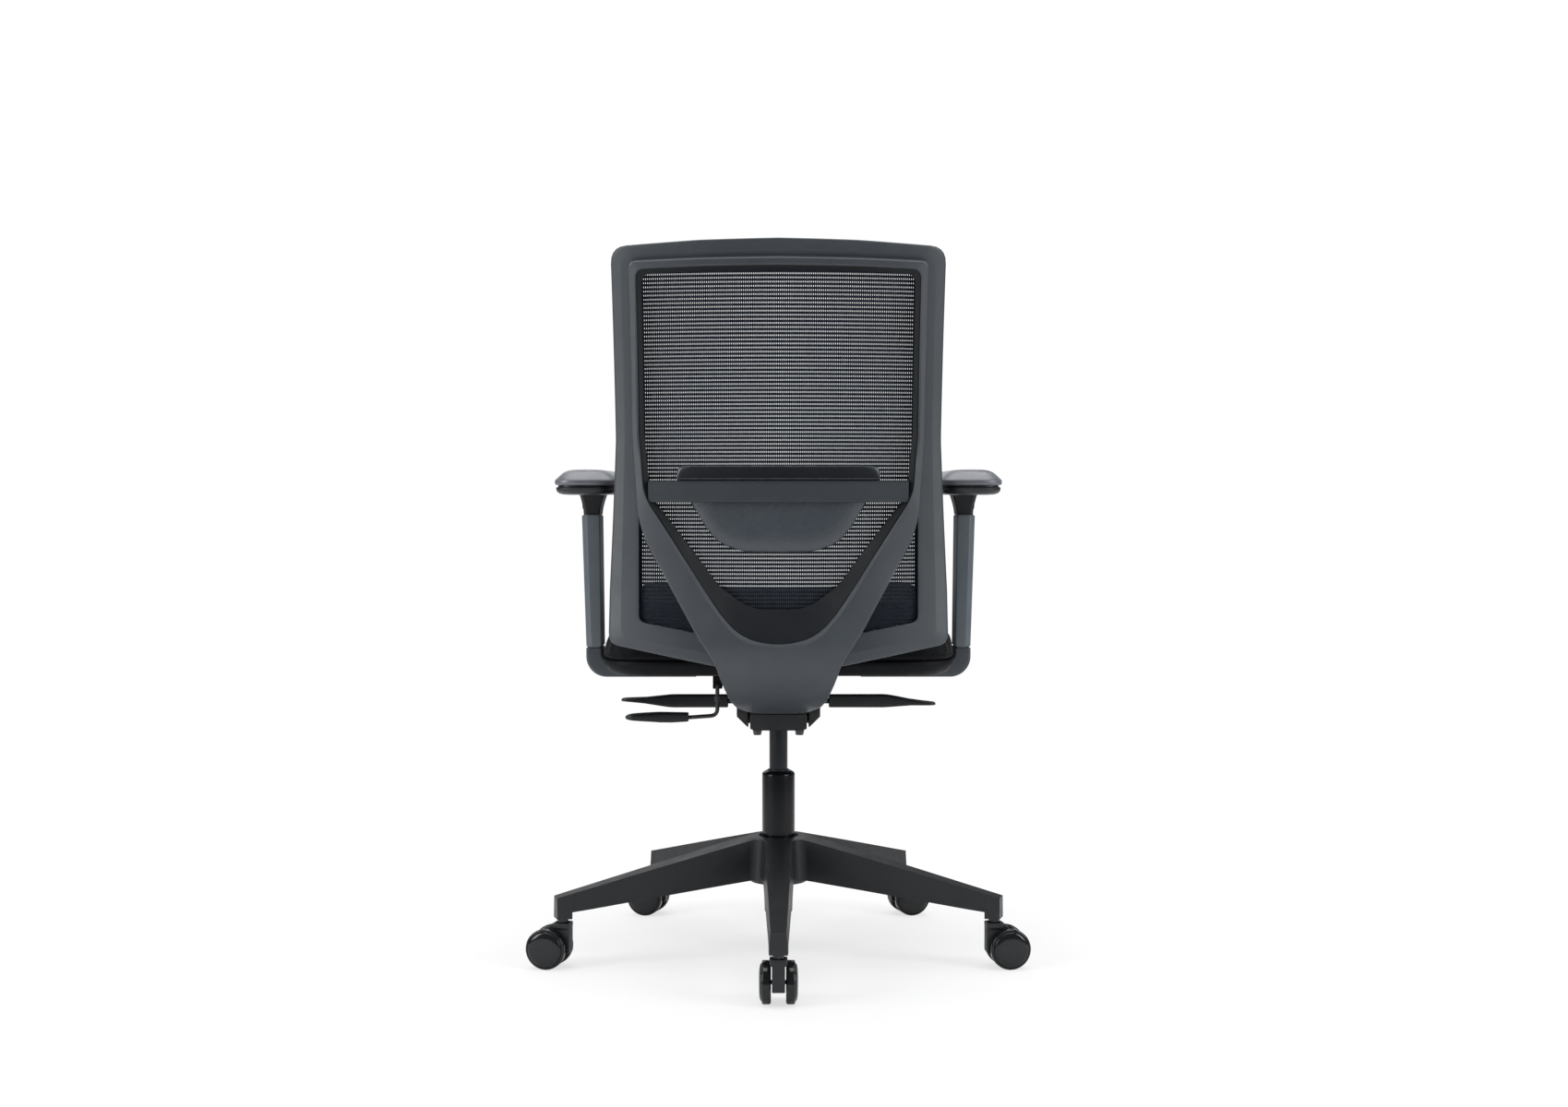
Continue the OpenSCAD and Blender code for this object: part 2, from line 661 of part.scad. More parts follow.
// Puts a caster's own frame at stem i: the wheels trail towards +X
module at_caster(i) {
    angle = arm_angle(i);
    translate([stem_reach * cos(angle), stem_reach * sin(angle), 0]) rotate(TRAIL_HEADING[i - 1]) children();
}
module caster_body() {
    block = 12.5;
    difference() {
        union() {
            along_y(web_w) polygon([[-block, axle_z - 8], [-block, caster_top], [block, caster_top],
                                    [trail + 14, 46], [trail + 14, axle_z - 8]]);
            translate([-block, -block, caster_top - 7]) cube([2 * block, 2 * block, 7]);
        }
        translate([0, 0, 46]) cylinder(r = stem_r, h = 30);
        translate([trail, 0, axle_z]) rod_y(axle_r, -20, 20);
    }
}
module caster_pins() {
    axle_half = web_w / 2 + 12.5;
    translate([0, 0, 46]) cylinder(r = stem_r, h = socket_bottom + socket_depth - 1 - 46);
    translate([0, 0, caster_top + 0.4]) cylinder(r = 8, h = socket_bottom - caster_top - 0.8);
    translate([trail, 0, axle_z]) rod_y(axle_r, -axle_half, axle_half);
}
module wheel() {
    inner = caster_w / 2 - wheel_w;
    outer = caster_w / 2;
    r = wheel_d / 2;
    bore = axle_r + play;
    translate([trail, 0, axle_z]) rotate([-90, 0, 0]) rotate_extrude()
        polygon([[bore, inner], [r - 4, inner], [r, inner + 3], [r, outer - 4], [r - 2, outer - 1.5],
                 [r - 8, outer - 0.5], [0, outer], [0, web_w / 2 + 13], [bore, web_w / 2 + 13]]);
}

// ---------- assembly ----------

base_star();
gas_outer_tube();
guide_bush();
thrust_bearing();
piston_rod();
gas_cylinder();
valve_pin();
mechanism_housing();
tilt_spring();
pivot_pins();
tension_knob();
height_lever_rod();
height_lever_blade();
tilt_lever_rod();
tilt_lever_blade();
seat_tilt_plate();
seat_shell();
seat_cushion();
seat_screws();
slide_lever_wire();
slide_lever_paddle();
back_bracket();
back_bolts();
back_spine();
mesh_frame();
back_mesh();
lumbar_pad();
for (s = SIDES) {
    color(shell_grey) on_side(s) arm_bracket();
    color(shell_grey) on_side(s) arm_sleeve();
    color(black) on_side(s) arm_stem();
    color(black) on_side(s) arm_pad_base();
    color("#55585f") on_side(s) arm_pad();
    color(black) on_side(s) arm_button();
}
for (i = [1:ARMS]) {
    color(nylon) at_caster(i) caster_body();
    color(steel) at_caster(i) caster_pins();
    color(black) at_caster(i) wheel();
    color(black) at_caster(i) mirror([0, 1, 0]) wheel();
}
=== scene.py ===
"""Swivel office chair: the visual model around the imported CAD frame.

Points below are in millimetres in the frame of the CAD model (floor at z = 0, column on the
origin, sitter facing -Y), and each piece turns them into metres when it is built.
"""

import math

import bmesh
import bpy
import numpy as np
from mathutils import Matrix, Vector


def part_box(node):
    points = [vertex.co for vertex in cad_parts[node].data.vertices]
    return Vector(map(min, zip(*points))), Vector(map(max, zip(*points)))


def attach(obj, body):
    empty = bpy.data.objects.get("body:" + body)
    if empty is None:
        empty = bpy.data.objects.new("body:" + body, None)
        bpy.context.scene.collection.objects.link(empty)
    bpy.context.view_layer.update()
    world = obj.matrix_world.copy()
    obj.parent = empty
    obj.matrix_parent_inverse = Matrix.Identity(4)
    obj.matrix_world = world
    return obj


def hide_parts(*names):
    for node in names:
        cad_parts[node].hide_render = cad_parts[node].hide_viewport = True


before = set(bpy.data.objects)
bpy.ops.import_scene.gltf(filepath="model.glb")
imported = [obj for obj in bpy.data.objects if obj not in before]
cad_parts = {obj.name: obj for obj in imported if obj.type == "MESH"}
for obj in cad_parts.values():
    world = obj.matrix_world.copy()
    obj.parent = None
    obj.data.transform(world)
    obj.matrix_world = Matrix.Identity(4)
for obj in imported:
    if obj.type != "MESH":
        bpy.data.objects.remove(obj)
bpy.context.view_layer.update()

MM = 0.001
SIDES = {"left": 1, "right": -1}
ARMS = 5
CURVE = 5  # pieces in each rounded corner

scene = bpy.context.scene


# ---------------------------------------------------------------- camera

CAMERA_PLACE = (0.0, 3.05, 0.706)
SENSOR_WIDTH = 36
LENS = 45.885
FAR_CLIP = 50
LOOK_DOWN = math.radians(1.775)
LOOK_ASIDE = math.radians(0.159)


def make_camera():
    data = bpy.data.cameras.new("camera")
    data.sensor_width = SENSOR_WIDTH
    data.lens = LENS
    data.clip_end = FAR_CLIP
    camera = bpy.data.objects.new("camera", data)
    scene.collection.objects.link(camera)
    camera.location = CAMERA_PLACE
    camera.rotation_euler = (math.radians(90) - LOOK_DOWN, 0, math.radians(180) - LOOK_ASIDE)
    scene.camera = camera


make_camera()


# ---------------------------------------------------------------- sizes from the frame

def span(node):
    """Lowest and highest corner of a CAD node, in millimetres."""
    low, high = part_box(node)
    return np.array(low) / MM, np.array(high) / MM


star_low, star_high = span("base_star")
tube_low, tube_high = span("gas_outer_tube")
gas_low, gas_high = span("gas_cylinder")
wheel_high = span("wheel_left_1")[1]
body_low, body_high = span("caster_body_1")
pins_high = span("caster_pins_1")[1]
frame_low, frame_high = span("mesh_frame")
spine_high = span("back_spine")[1]
cushion_low, cushion_high = span("seat_cushion")
pad_low, pad_high = span("arm_pad_left")
pad_base_low, pad_base_high = span("arm_pad_base_left")
stem_low, stem_high = span("arm_stem_left")
sleeve_low, sleeve_high = span("arm_sleeve_left")
bracket_low, bracket_high = span("arm_bracket_left")

# base: half widths of an arm are (at the hub, at the tip)
HUB_TOP = star_high[2]
HUB_R = 42
TIP_REACH = star_high[1]
SOCKET_BOTTOM = star_low[2]
SOCKET_START = TIP_REACH - 25
TIP_TOP = SOCKET_BOTTOM + 32
ARM_TOP_HALF = (16.5, 11)
ARM_LOW_HALF = (19, 13)
ARM_LOW_Z = (117, 84)
HUB_LOW_Z = 110
CROTCH_R = 18
ARM_HALF_ANGLE = math.radians(180 / ARMS)

# gas lift
TUBE_R = tube_high[0]
TUBE_TOP = tube_high[2]
TUBE_LOW = tube_low[2]
GAS_R = gas_high[0]
GAS_TOP = gas_high[2]
GAS_LOW = gas_low[2]

# casters: the axle is TRAIL beside the stem, in the direction of the caster's heading in degrees
STEM_REACH = TIP_REACH - 11
WHEEL_R = wheel_high[2] / 2
CASTER_HALF = wheel_high[0]
WHEEL_FACE = CASTER_HALF - 4.4
YOKE_HALF = 12.5
TRAIL = 21
TRAIL_HEADING = (-90, 188, 197, -17, -13)

# back: the mesh leans back by BACK_LEAN from the lumbar point to the top
BACK_TOP = frame_high[2]
BACK_BOTTOM = frame_low[2]
BACK_HALF = 235
LUMBAR_Y = 212
LUMBAR_Z = 620
BACK_LEAN = 73
WRAP_R = 680
WRAP_CENTRE = LUMBAR_Y - WRAP_R
RING_TOP = spine_high[2]
RING_HALF = min(spine_high[0], 209)
RING_REAR = 24
BAR_LOW = 690
BAR_HIGH = 721
BOLT_FACE = 380
FOOT_HALF = 41
LUMBAR_FOLD = BAR_HIGH + 2
LUMBAR_TOP = 743
LUMBAR_MIDDLE = 690.0
LUMBAR_HALF_W = 145

# mesh fabric
ROW_PITCH = 5.6
HOLE_PITCH = 2.86
HOLE_W = 0.91
HOLE_H = 2.3
MESH_HALF = 204
MESH_LOW = 497.0
MESH_TOP = BACK_TOP - 38
MESH_BORDER = 5.0
YARN = 0.8

# seat: the top rises towards the front and is dished in the middle; the shell's rear hangs lower
SEAT_RISE = 22
REAR_TOP = cushion_high[2] - SEAT_RISE
DISH_HALF = 50
DISH_DEPTH = 11
BOLSTER_WIDTH = 130
BOLSTER_RISE = 13
SIDE_EASE = 6
TOP_EASE = 5
PUFF_FRAMES = 20
PAN_LOW = 446
PAN_INSET = 86
HANG_START = 34
HANG_LENGTH = 36
RAIL_X = 72.3
RAIL_LOW = 425
RAIL_HALF = 100
RAIL_THICK = 2.7

# arms
PAD_CORNER = 38
SEAM = 1.4
ARM_X = 281
STEM_HALF_W = 7
STEM_HALF_D = 40 / 2
BORE_GAP = 0.6
SLEEVE_HALF_D = 31
SLEEVE_LEAN = 2.1
BRACKET_HALF_D = 30
BRACKET_THICK = 20.7
EDGE_CUT = 1.8

# levers
WIRE_X = 91
WIRE_Y = 80
WIRE_R = 3
WIRE_TOP = 416
LEVER_Z = 386


# ---------------------------------------------------------------- shapes

def rounded(corners, steps=1, closed=False):
    """Points along straight sides. Corners are (x, y, radius); side k is cut into steps[k] pieces."""
    count = len(corners)
    steps = [steps] * count if isinstance(steps, int) else steps
    runs = []
    for k, (x, y, radius) in enumerate(corners):
        here = np.array((x, y), float)
        if not closed and k in (0, count - 1):
            runs.append([here])
            continue
        before = np.array(corners[k - 1][:2], float) - here
        after = np.array(corners[(k + 1) % count][:2], float) - here
        a, b = np.linalg.norm(before), np.linalg.norm(after)
        inside = math.acos(max(-1, min(1, float(before @ after) / (a * b))))
        back = min(radius / math.tan(inside / 2), 0.48 * a, 0.48 * b)
        start, stop = here + before / a * back, here + after / b * back
        runs.append([(1 - t) ** 2 * start + 2 * t * (1 - t) * here + t * t * stop
                     for t in np.linspace(0, 1, CURVE + 1)])
    points = []
    for k, run in enumerate(runs):
        points += run
        if k < count - 1 or closed:
            onward = runs[(k + 1) % count][0]
            points += [run[-1] + (onward - run[-1]) * t for t in np.linspace(0, 1, steps[k] + 1)[1:-1]]
    return np.array(points)


def rectangle(x0, y0, x1, y1, radius, steps=1):
    corners = [(x0, y0, radius), (x1, y0, radius), (x1, y1, radius), (x0, y1, radius)]
    return rounded(corners, steps, closed=True)


def solid(rows):
    """The surface through closed rows, with a face over the first and the last one."""
    return skin(rows, capped=True)


def level(outline, z):
    """An outline in X and Y at a height, or at one height for each of its points."""
    return np.column_stack([outline, np.full(len(outline), z)])


def circle(place, side, up, radius, count, lift=0):
    """Points round a place in the plane of side and up, raised along up by `lift` of the radius."""
    return np.array([place + radius * (math.cos(a) * side + math.sin(a) * up + lift * up)
                     for a in np.linspace(0, 2 * math.pi, count, endpoint=False)])


def both_halves(half):
    """A closed loop from its half at x >= 0, which runs from the middle above to the middle below."""
    return np.vstack([half, (half[1:-1] * (-1, 1))[::-1]])


def skin(rows, around=True, along=False, capped=False):
    """Points and faces of the surface through rows of equally many points."""
    count, size = len(rows), len(rows[0])
    faces = []
    for r in range(count if along else count - 1):
        here, there = r * size, (r + 1) % count * size
        for c in range(size if around else size - 1):
            d = (c + 1) % size
            faces.append((here + c, here + d, there + d, there + c))
    if capped:
        faces += [tuple(range(size))[::-1], tuple(range((count - 1) * size, count * size))]
    return np.concatenate(rows), faces


def together(*shapes):
    points, faces, start = [], [], 0
    for more, skinned in shapes:
        points.append(more)
        faces += [tuple(start + v for v in face) for face in skinned]
        start += len(more)
    return np.concatenate(points), faces


def lathe(profile, segments=96):
    """Surface of (radius, height) points turned about Z. The profile closes on the axis or on itself."""
    angles = np.linspace(0, 2 * math.pi, segments, endpoint=False)
    rows = [np.array([(r * math.cos(a), r * math.sin(a), z) for r, z in profile]) for a in angles]
    return skin(rows, around=True, along=True)


def prism(outline, low, high):
    """A block with this outline in X and Z, between two Y values."""
    rows = [np.array([(x, y, z) for x, z in outline]) for y in (low, high)]
    return solid(rows)


def moved(shape, turn=Matrix.Identity(3), by=(0, 0, 0)):
    points, faces = shape
    return points @ np.array(turn).T + np.array(by), faces


def mirrored(shape, side):
    points, faces = shape
    return points * (SIDES[side], 1, 1), faces


def piece(name, shape, look, body, replaces=(), crease=35, bevel=0):
    """A mesh object from points in millimetres, on a CAD body. Its slot has its look's name."""
    points, faces = shape
    mesh = bpy.data.meshes.new(name)
    mesh.from_pydata((np.asarray(points) * MM).tolist(), [], faces)
    tidy = bmesh.new()
    tidy.from_mesh(mesh)
    bmesh.ops.remove_doubles(tidy, verts=tidy.verts, dist=1e-6)
    bmesh.ops.dissolve_degenerate(tidy, edges=tidy.edges, dist=1e-6)
    bmesh.ops.recalc_face_normals(tidy, faces=tidy.faces)
    tidy.to_mesh(mesh)
    tidy.free()
    mesh.polygons.foreach_set("use_smooth", [True] * len(mesh.polygons))
    if not bevel:
        mesh.set_sharp_from_angle(angle=math.radians(crease))
    mesh.materials.append(LOOK[look])
    obj = bpy.data.objects.new(name, mesh)
    scene.collection.objects.link(obj)
    if bevel:
        round_edges(obj, bevel)
    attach(obj, body)
    if replaces:
        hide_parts(*replaces)
    return obj


def round_edges(obj, width, segments=3, angle=32):
    bevel = obj.modifiers.new("edges", "BEVEL")
    bevel.width = width * MM
    bevel.segments = segments
    bevel.limit_method = "ANGLE"
    bevel.angle_limit = math.radians(angle)
    bevel.harden_normals = True


# ---------------------------------------------------------------- materials

class Nodes:
    """The node tree of one procedural material, in object coordinates."""

    def __init__(self, name):
        self.material = bpy.data.materials.new(name)
        self.material.use_nodes = True
        self.tree = self.material.node_tree
        self.shader = self.tree.nodes["Principled BSDF"]
        self.place = self.add("ShaderNodeTexCoord").outputs["Object"]

    def add(self, kind, **values):
        node = self.tree.nodes.new(kind)
        for key, value in values.items():
            if hasattr(node, key):
                setattr(node, key, value)
            else:
                node.inputs[key.replace("_", " ")].default_value = value
        return node

    def link(self, out, to):
        self.tree.links.new(out, to)

    def noise(self, size, detail=3.0, stretch=(1, 1, 1)):
        """Noise whose lumps are about `size` millimetres across."""
        scaled = self.add("ShaderNodeMapping")
        scaled.inputs["Scale"].default_value = stretch
        self.link(self.place, scaled.inputs["Vector"])
        node = self.add("ShaderNodeTexNoise", Scale=1 / (size * MM), Detail=detail)
        self.link(scaled.outputs["Vector"], node.inputs["Vector"])
        return node.outputs["Fac"]

    def spread(self, value, low, high, start=0.3, stop=0.7):
        """A value brought from start..stop to low..high."""
        node = self.add("ShaderNodeMapRange")
        for socket, number in (("From Min", start), ("From Max", stop), ("To Min", low), ("To Max", high)):
            node.inputs[socket].default_value = number
        self.link(value, node.inputs["Value"])
        return node.outputs["Result"]

    def tint(self, value, dark, light):
        """Base colour from dark (value 0) to light (value 1)."""
        node = self.add("ShaderNodeMix", data_type="RGBA")
        self.link(value, node.inputs["Factor"])
        ends = {"A": (*dark, 1), "B": (*light, 1)}
        for socket in node.inputs:
            if socket.type == "RGBA":
                socket.default_value = ends[socket.name]
        mixed = next(socket for socket in node.outputs if socket.type == "RGBA")
        self.link(mixed, self.shader.inputs["Base Color"])

    def bump(self, height, depth):
        """Bump of `depth` millimetres from a height of 0 to 1."""
        node = self.add("ShaderNodeBump", Strength=1.0, Distance=depth * MM)
        self.link(height, node.inputs["Height"])
        if self.shader.inputs["Normal"].is_linked:
            self.link(self.shader.inputs["Normal"].links[0].from_socket, node.inputs["Normal"])
        self.link(node.outputs["Normal"], self.shader.inputs["Normal"])

    def rough(self, low, high, size):
        self.link(self.spread(self.noise(size), low, high), self.shader.inputs["Roughness"])

    def fixed(self, **values):
        for key, value in values.items():
            self.shader.inputs[key.replace("_", " ")].default_value = value


def shade(colour, factor):
    return tuple(c * factor for c in colour)


def surface(name, dark, light, cloud, rough, patch, grain, depth, detail=3.0, stretch=(1, 1, 1), **looks):
    """Cloudy colour between dark and light, gloss that changes from patch to patch, and a fine grain.
    The clouds, patches, grain and depth are in millimetres."""
    m = Nodes(name)
    m.tint(m.spread(m.noise(cloud), 0, 1), dark, light)
    m.rough(*rough, patch)
    m.bump(m.noise(grain, detail, stretch), depth)
    m.fixed(**looks)
    return m.material


def plastic(name, colour, rough, grain=0.9, depth=0.05, mottle=0.07, specular=0.5):
    """Moulded plastic with a fine pebbled grain."""
    return surface(name, shade(colour, 1 - mottle), shade(colour, 1 + mottle), 60,
                   (rough - GLOSS_CHANGE, rough + GLOSS_CHANGE), 25, grain, depth, detail=2,
                   Specular_IOR_Level=specular)


GLOSS_CHANGE = 0.05
PLASTICS = {
    "base_nylon": dict(colour=(0.015, 0.0165, 0.0185), rough=0.44, grain=1.3, depth=0.08, specular=0.35),
    "frame_plastic": dict(colour=(0.036, 0.043, 0.051), rough=0.44),
    # the crossbar: frame plastic darkened to about 0.6, painted shade on its downward-facing face
    "bar_painted_shade_plastic": dict(colour=(0.022, 0.027, 0.033), rough=0.42, specular=0.4),
    "post_plastic": dict(colour=(0.092, 0.110, 0.124), rough=0.38),
    # near black, much darker than frame_plastic: the back window's inner slope, and painted shade on the
    # lumbar's upper strip
    "near_black_plastic": dict(colour=(0.0055, 0.007, 0.0095), rough=0.50, depth=0.04, specular=0.25),
    "lumbar_plastic": dict(colour=(0.042, 0.050, 0.060), rough=0.27, grain=0.7, depth=0.006, mottle=0.03),
    "control_plastic": dict(colour=(0.008, 0.009, 0.010), rough=0.40, grain=0.8, depth=0.04, specular=0.35),
    "black_plastic": dict(colour=(0.010, 0.011, 0.013), rough=0.36, grain=0.8, depth=0.03, specular=0.4),
    "shell_plastic": dict(colour=(0.004, 0.0045, 0.006), rough=0.58, grain=1.2, depth=0.06, specular=0.12),
    "bush_plastic": dict(colour=(0.012, 0.013, 0.015), rough=0.35, grain=0.6, depth=0.02),
}
SURFACES = {
    # painted die-cast metal: flat black with a sandy surface
    "mechanism_casting": dict(
        dark=(0.007, 0.0075, 0.0085), light=(0.011, 0.012, 0.0135), cloud=40,
        rough=(0.42, 0.56), patch=18, grain=1.6, depth=0.12, detail=4,
        Specular_IOR_Level=0.35),
    # powder-coated steel tube: near-black with orange peel and a soft sheen
    "column_black": dict(
        dark=(0.003, 0.0035, 0.005), light=(0.004, 0.005, 0.007), cloud=50,
        rough=(0.16, 0.24), patch=30, grain=2.2, depth=0.006, detail=1,
        Specular_IOR_Level=0.22),
    # the sliding cylinder: black lacquer with faint turning lines around it
    "gas_black": dict(
        dark=(0.003, 0.006, 0.009), light=(0.005, 0.009, 0.013), cloud=50,
        rough=(0.12, 0.18), patch=12, grain=0.8, depth=0.001, detail=2,
        stretch=(0.02, 0.02, 1), Specular_IOR_Level=0.2),
    # zinc-plated steel, drawn lengthways
    "steel": dict(
        dark=(0.42, 0.43, 0.45), light=(0.52, 0.53, 0.55), cloud=15, rough=(0.22, 0.34), patch=6,
        grain=0.7, depth=0.01, detail=2, stretch=(1, 1, 0.1), Metallic=1.0),
    # blackened steel: dark oxide with rubbed patches
    "black_steel": dict(
        dark=(0.030, 0.031, 0.034), light=(0.055, 0.057, 0.061), cloud=12,
        rough=(0.30, 0.45), patch=8, grain=1.0, depth=0.02, Metallic=0.7),
    # self-skinned foam: dark, satin, with a fine leathery pore
    "pad_soft": dict(
        dark=(0.082, 0.086, 0.105), light=(0.100, 0.106, 0.127), cloud=45,
        rough=(0.34, 0.44), patch=20, grain=1.2, depth=0.06,
        Sheen_Weight=0.2, Sheen_Roughness=0.4, Specular_IOR_Level=0.8),
    # polished nylon tread, rim and cap
    "wheel_gloss": dict(
        dark=(0.006, 0.007, 0.008), light=(0.010, 0.011, 0.012), cloud=30,
        rough=(0.10, 0.19), patch=9, grain=3, depth=0.015, detail=1,
        Coat_Weight=0.25, Coat_Roughness=0.05, Specular_IOR_Level=0.25),
}


def weave(m, pitch):
    """Height of a plain weave: crossing threads that pass over and under each other."""
    waves = []
    for turn in (45, -45):
        turned = m.add("ShaderNodeMapping")
        turned.inputs["Rotation"].default_value = (math.radians(20), math.radians(20), math.radians(turn))
        m.link(m.place, turned.inputs["Vector"])
        wave = m.add("ShaderNodeTexWave", Scale=math.pi / (pitch * MM) / 20, Distortion=0.6)
        wave.inputs["Detail Scale"].default_value = 3
        m.link(turned.outputs["Vector"], wave.inputs["Vector"])
        waves.append(wave.outputs["Fac"])
    both = m.add("ShaderNodeMath", operation="MULTIPLY")
    m.link(waves[0], both.inputs[0])
    m.link(waves[1], both.inputs[1])
    return both.outputs["Value"]


def seat_fabric():
    """Woven upholstery: crossing threads, a faint melange and a soft sheen at grazing angles."""
    m = Nodes("seat_fabric")
    threads = weave(m, 1.6)
    mixed = m.add("ShaderNodeMath", operation="MULTIPLY")
    m.link(m.spread(m.noise(2.2, detail=4), 0.4, 1), mixed.inputs[0])
    m.link(m.spread(threads, 0.3, 1, 0, 1), mixed.inputs[1])
    m.tint(mixed.outputs["Value"], (0.003, 0.0034, 0.0044), (0.007, 0.0078, 0.0098))
    m.rough(0.80, 0.95, 14)
    m.bump(threads, 0.25)
    m.bump(m.noise(22), 0.6)
    m.fixed(Sheen_Weight=0.04, Sheen_Roughness=0.5, Specular_IOR_Level=0.12)
    return m.material


def mesh_fabric():
    """Knitted polyester: black yarn, slightly shiny, with fibres along each row."""
    m = Nodes("mesh_fabric")
    m.tint(m.spread(m.noise(3, stretch=(0.3, 1, 1)), 0, 1), (0.003, 0.006, 0.011), (0.007, 0.012, 0.021))
    m.rough(0.50, 0.65, 4)
    m.bump(m.noise(0.7, detail=2, stretch=(0.25, 1, 1)), 0.15)
    m.fixed(Specular_IOR_Level=0.15)
    return m.material


LOOK = {name: plastic(name, **values) for name, values in PLASTICS.items()}
LOOK.update({name: surface(name, **values) for name, values in SURFACES.items()})
LOOK["seat_fabric"] = seat_fabric()
LOOK["mesh_fabric"] = mesh_fabric()


# ---------------------------------------------------------------- base

def direction(angle):
    return np.array((math.cos(angle), math.sin(angle)))


def base_edge(share, root, tip):
    """A point on the edge of half an arm with these half widths: from the middle of the crotch (share 0)
    round its fillet (1) to the tip (2)."""
    square = -math.pi / 2 - math.atan((root - tip) / (TIP_REACH - 38))
    width = root + 4 + CROTCH_R
    centre = np.array((width / math.tan(ARM_HALF_ANGLE), width))
    if share <= 1:
        start = ARM_HALF_ANGLE - math.pi
        return centre + CROTCH_R * direction(start + (square - start) * share)
    stop = centre + CROTCH_R * direction(square)
    return stop + (np.array((TIP_REACH, tip)) - stop) * (share - 1)


def arm_top(radius):
    return HUB_TOP + (TIP_TOP - HUB_TOP) * np.clip((radius - HUB_R) / (TIP_REACH - HUB_R), 0, 1)


def arm_under(radius):
    share = np.clip((radius - 50) / (TIP_REACH - 75), 0, 1)
    return np.where(radius < HUB_R + 2, HUB_LOW_Z, ARM_LOW_Z[0] + (ARM_LOW_Z[1] - ARM_LOW_Z[0]) * share)


def socket_under(radius):
    return np.full_like(radius, SOCKET_BOTTOM)


def arm_row(edge, middle, height):
    """Points across an arm, curved from its edges to where its middle is, at a height for each radius."""
    columns = np.linspace(-1, 1, 9)
    flat = np.stack([middle + (edge[0] - middle) * columns ** 2, edge[1] * columns], axis=1)
    return level(flat, height(np.linalg.norm(flat, axis=1)))


def between(a, b):
    return [a * (1 - t) + b * t for t in (0, 0.5, 1)]


def base_star():
    notch_top = np.linalg.norm(base_edge(0, *ARM_TOP_HALF))
    notch_low = np.linalg.norm(base_edge(0, *ARM_LOW_HALF))

    def hub_rows(notch, height):
        radii = [TUBE_R + (notch - TUBE_R) * share for share in np.linspace(0, 1, 4)[:-1]]
        return [arm_row(radius * direction(ARM_HALF_ANGLE), radius, height) for radius in radii]

    loops = []
    in_socket = False
    for share in np.concatenate([np.linspace(0, 1, 9), 1 + np.linspace(0, 1, 14)[1:]]):
        top, low = base_edge(share, *ARM_TOP_HALF), base_edge(share, *ARM_LOW_HALF)
        middle_top = max(notch_top + 6 * share, top[0]) if share <= 1 else top[0]
        middle_low = max(notch_low, low[0]) if share <= 1 else low[0]
        upper = arm_row(top, middle_top, arm_top)
        if not in_socket:
            loops.append((upper, arm_row(low, middle_low, arm_under)))
            in_socket = low[0] > SOCKET_START
        if in_socket:
            loops.append((upper, arm_row(low, middle_low, socket_under)))
    uppers = hub_rows(notch_top, arm_top) + [upper for upper, lower in loops]
    lowers = hub_rows(notch_low, arm_under) + [lower for upper, lower in loops]
    faces = [uppers, lowers, [uppers[0], lowers[0]], between(*loops[-1])]
    for side in (0, -1):
        faces.append([np.array(between(upper[side], lower[side])) for upper, lower in loops])
    arm = together(*(skin(rows, around=False) for rows in faces))
    turns = [Matrix.Rotation(math.radians(90 + 360 / ARMS * k), 3, "Z") for k in range(ARMS)]
    piece("base_moulding", together(*(moved(arm, turn) for turn in turns)), "base_nylon", "base",
          ["base_star"], bevel=2.6)
    collar = lathe([(TUBE_R, HUB_TOP - 3), (31.5, HUB_TOP - 3), (31.5, HUB_TOP - 1.2), (31, HUB_TOP - 0.4),
                    (30, HUB_TOP), (TUBE_R + 1.2, HUB_TOP), (TUBE_R, HUB_TOP - 0.8)])
    piece("base_hub_collar", collar, "base_nylon", "base", crease=50)


def column():
    rim = [(TUBE_R - 5, TUBE_LOW + 2), (6, TUBE_LOW + 2), (6, TUBE_LOW), (TUBE_R - 5, TUBE_LOW),
           (TUBE_R - 3.8, TUBE_LOW + 1), (TUBE_R, HUB_TOP - 10), (TUBE_R, TUBE_TOP - 7)]
    rim += [(TUBE_R - 5 + 5 * math.cos(a), TUBE_TOP - 7 + 5 * math.sin(a)) for a in np.linspace(0, 1.3, 6)]
    rim += [(TUBE_R - 6, TUBE_TOP - 0.6), (TUBE_R - 7.4, TUBE_TOP - 0.2), (GAS_R + 2.6, TUBE_TOP - 0.4),
            (GAS_R + 2, TUBE_TOP - 1), (GAS_R + 2, TUBE_TOP - 4), (TUBE_R - 4, TUBE_TOP - 6)]
    piece("column_tube", lathe(rim), "column_black", "base", ["gas_outer_tube"])
    inner = GAS_R + 0.2
    bush = [(inner, TUBE_TOP - 30), (GAS_R + 2, TUBE_TOP - 30), (GAS_R + 2, TUBE_TOP + 1),
            (GAS_R + 1.4, TUBE_TOP + 1.7), (GAS_R + 0.9, TUBE_TOP + 1.9), (inner, TUBE_TOP + 1.2)]
    piece("column_bush", lathe(bush), "bush_plastic", "base", ["guide_bush"])
    rod = [(5.2, GAS_LOW), (GAS_R - 2, GAS_LOW), (GAS_R - 0.6, GAS_LOW + 0.6), (GAS_R, GAS_LOW + 2),
           (GAS_R, GAS_TOP - 22), (GAS_R - 0.5, GAS_TOP - 1), (GAS_R - 2, GAS_TOP),
           (4.2, GAS_TOP), (4.2, GAS_TOP - 8), (10, GAS_TOP - 16), (10, GAS_LOW + 14), (5.2, GAS_LOW + 12)]
    piece("gas_lift_cylinder", lathe(rod), "gas_black", "mechanism", ["gas_cylinder"])


# ---------------------------------------------------------------- casters

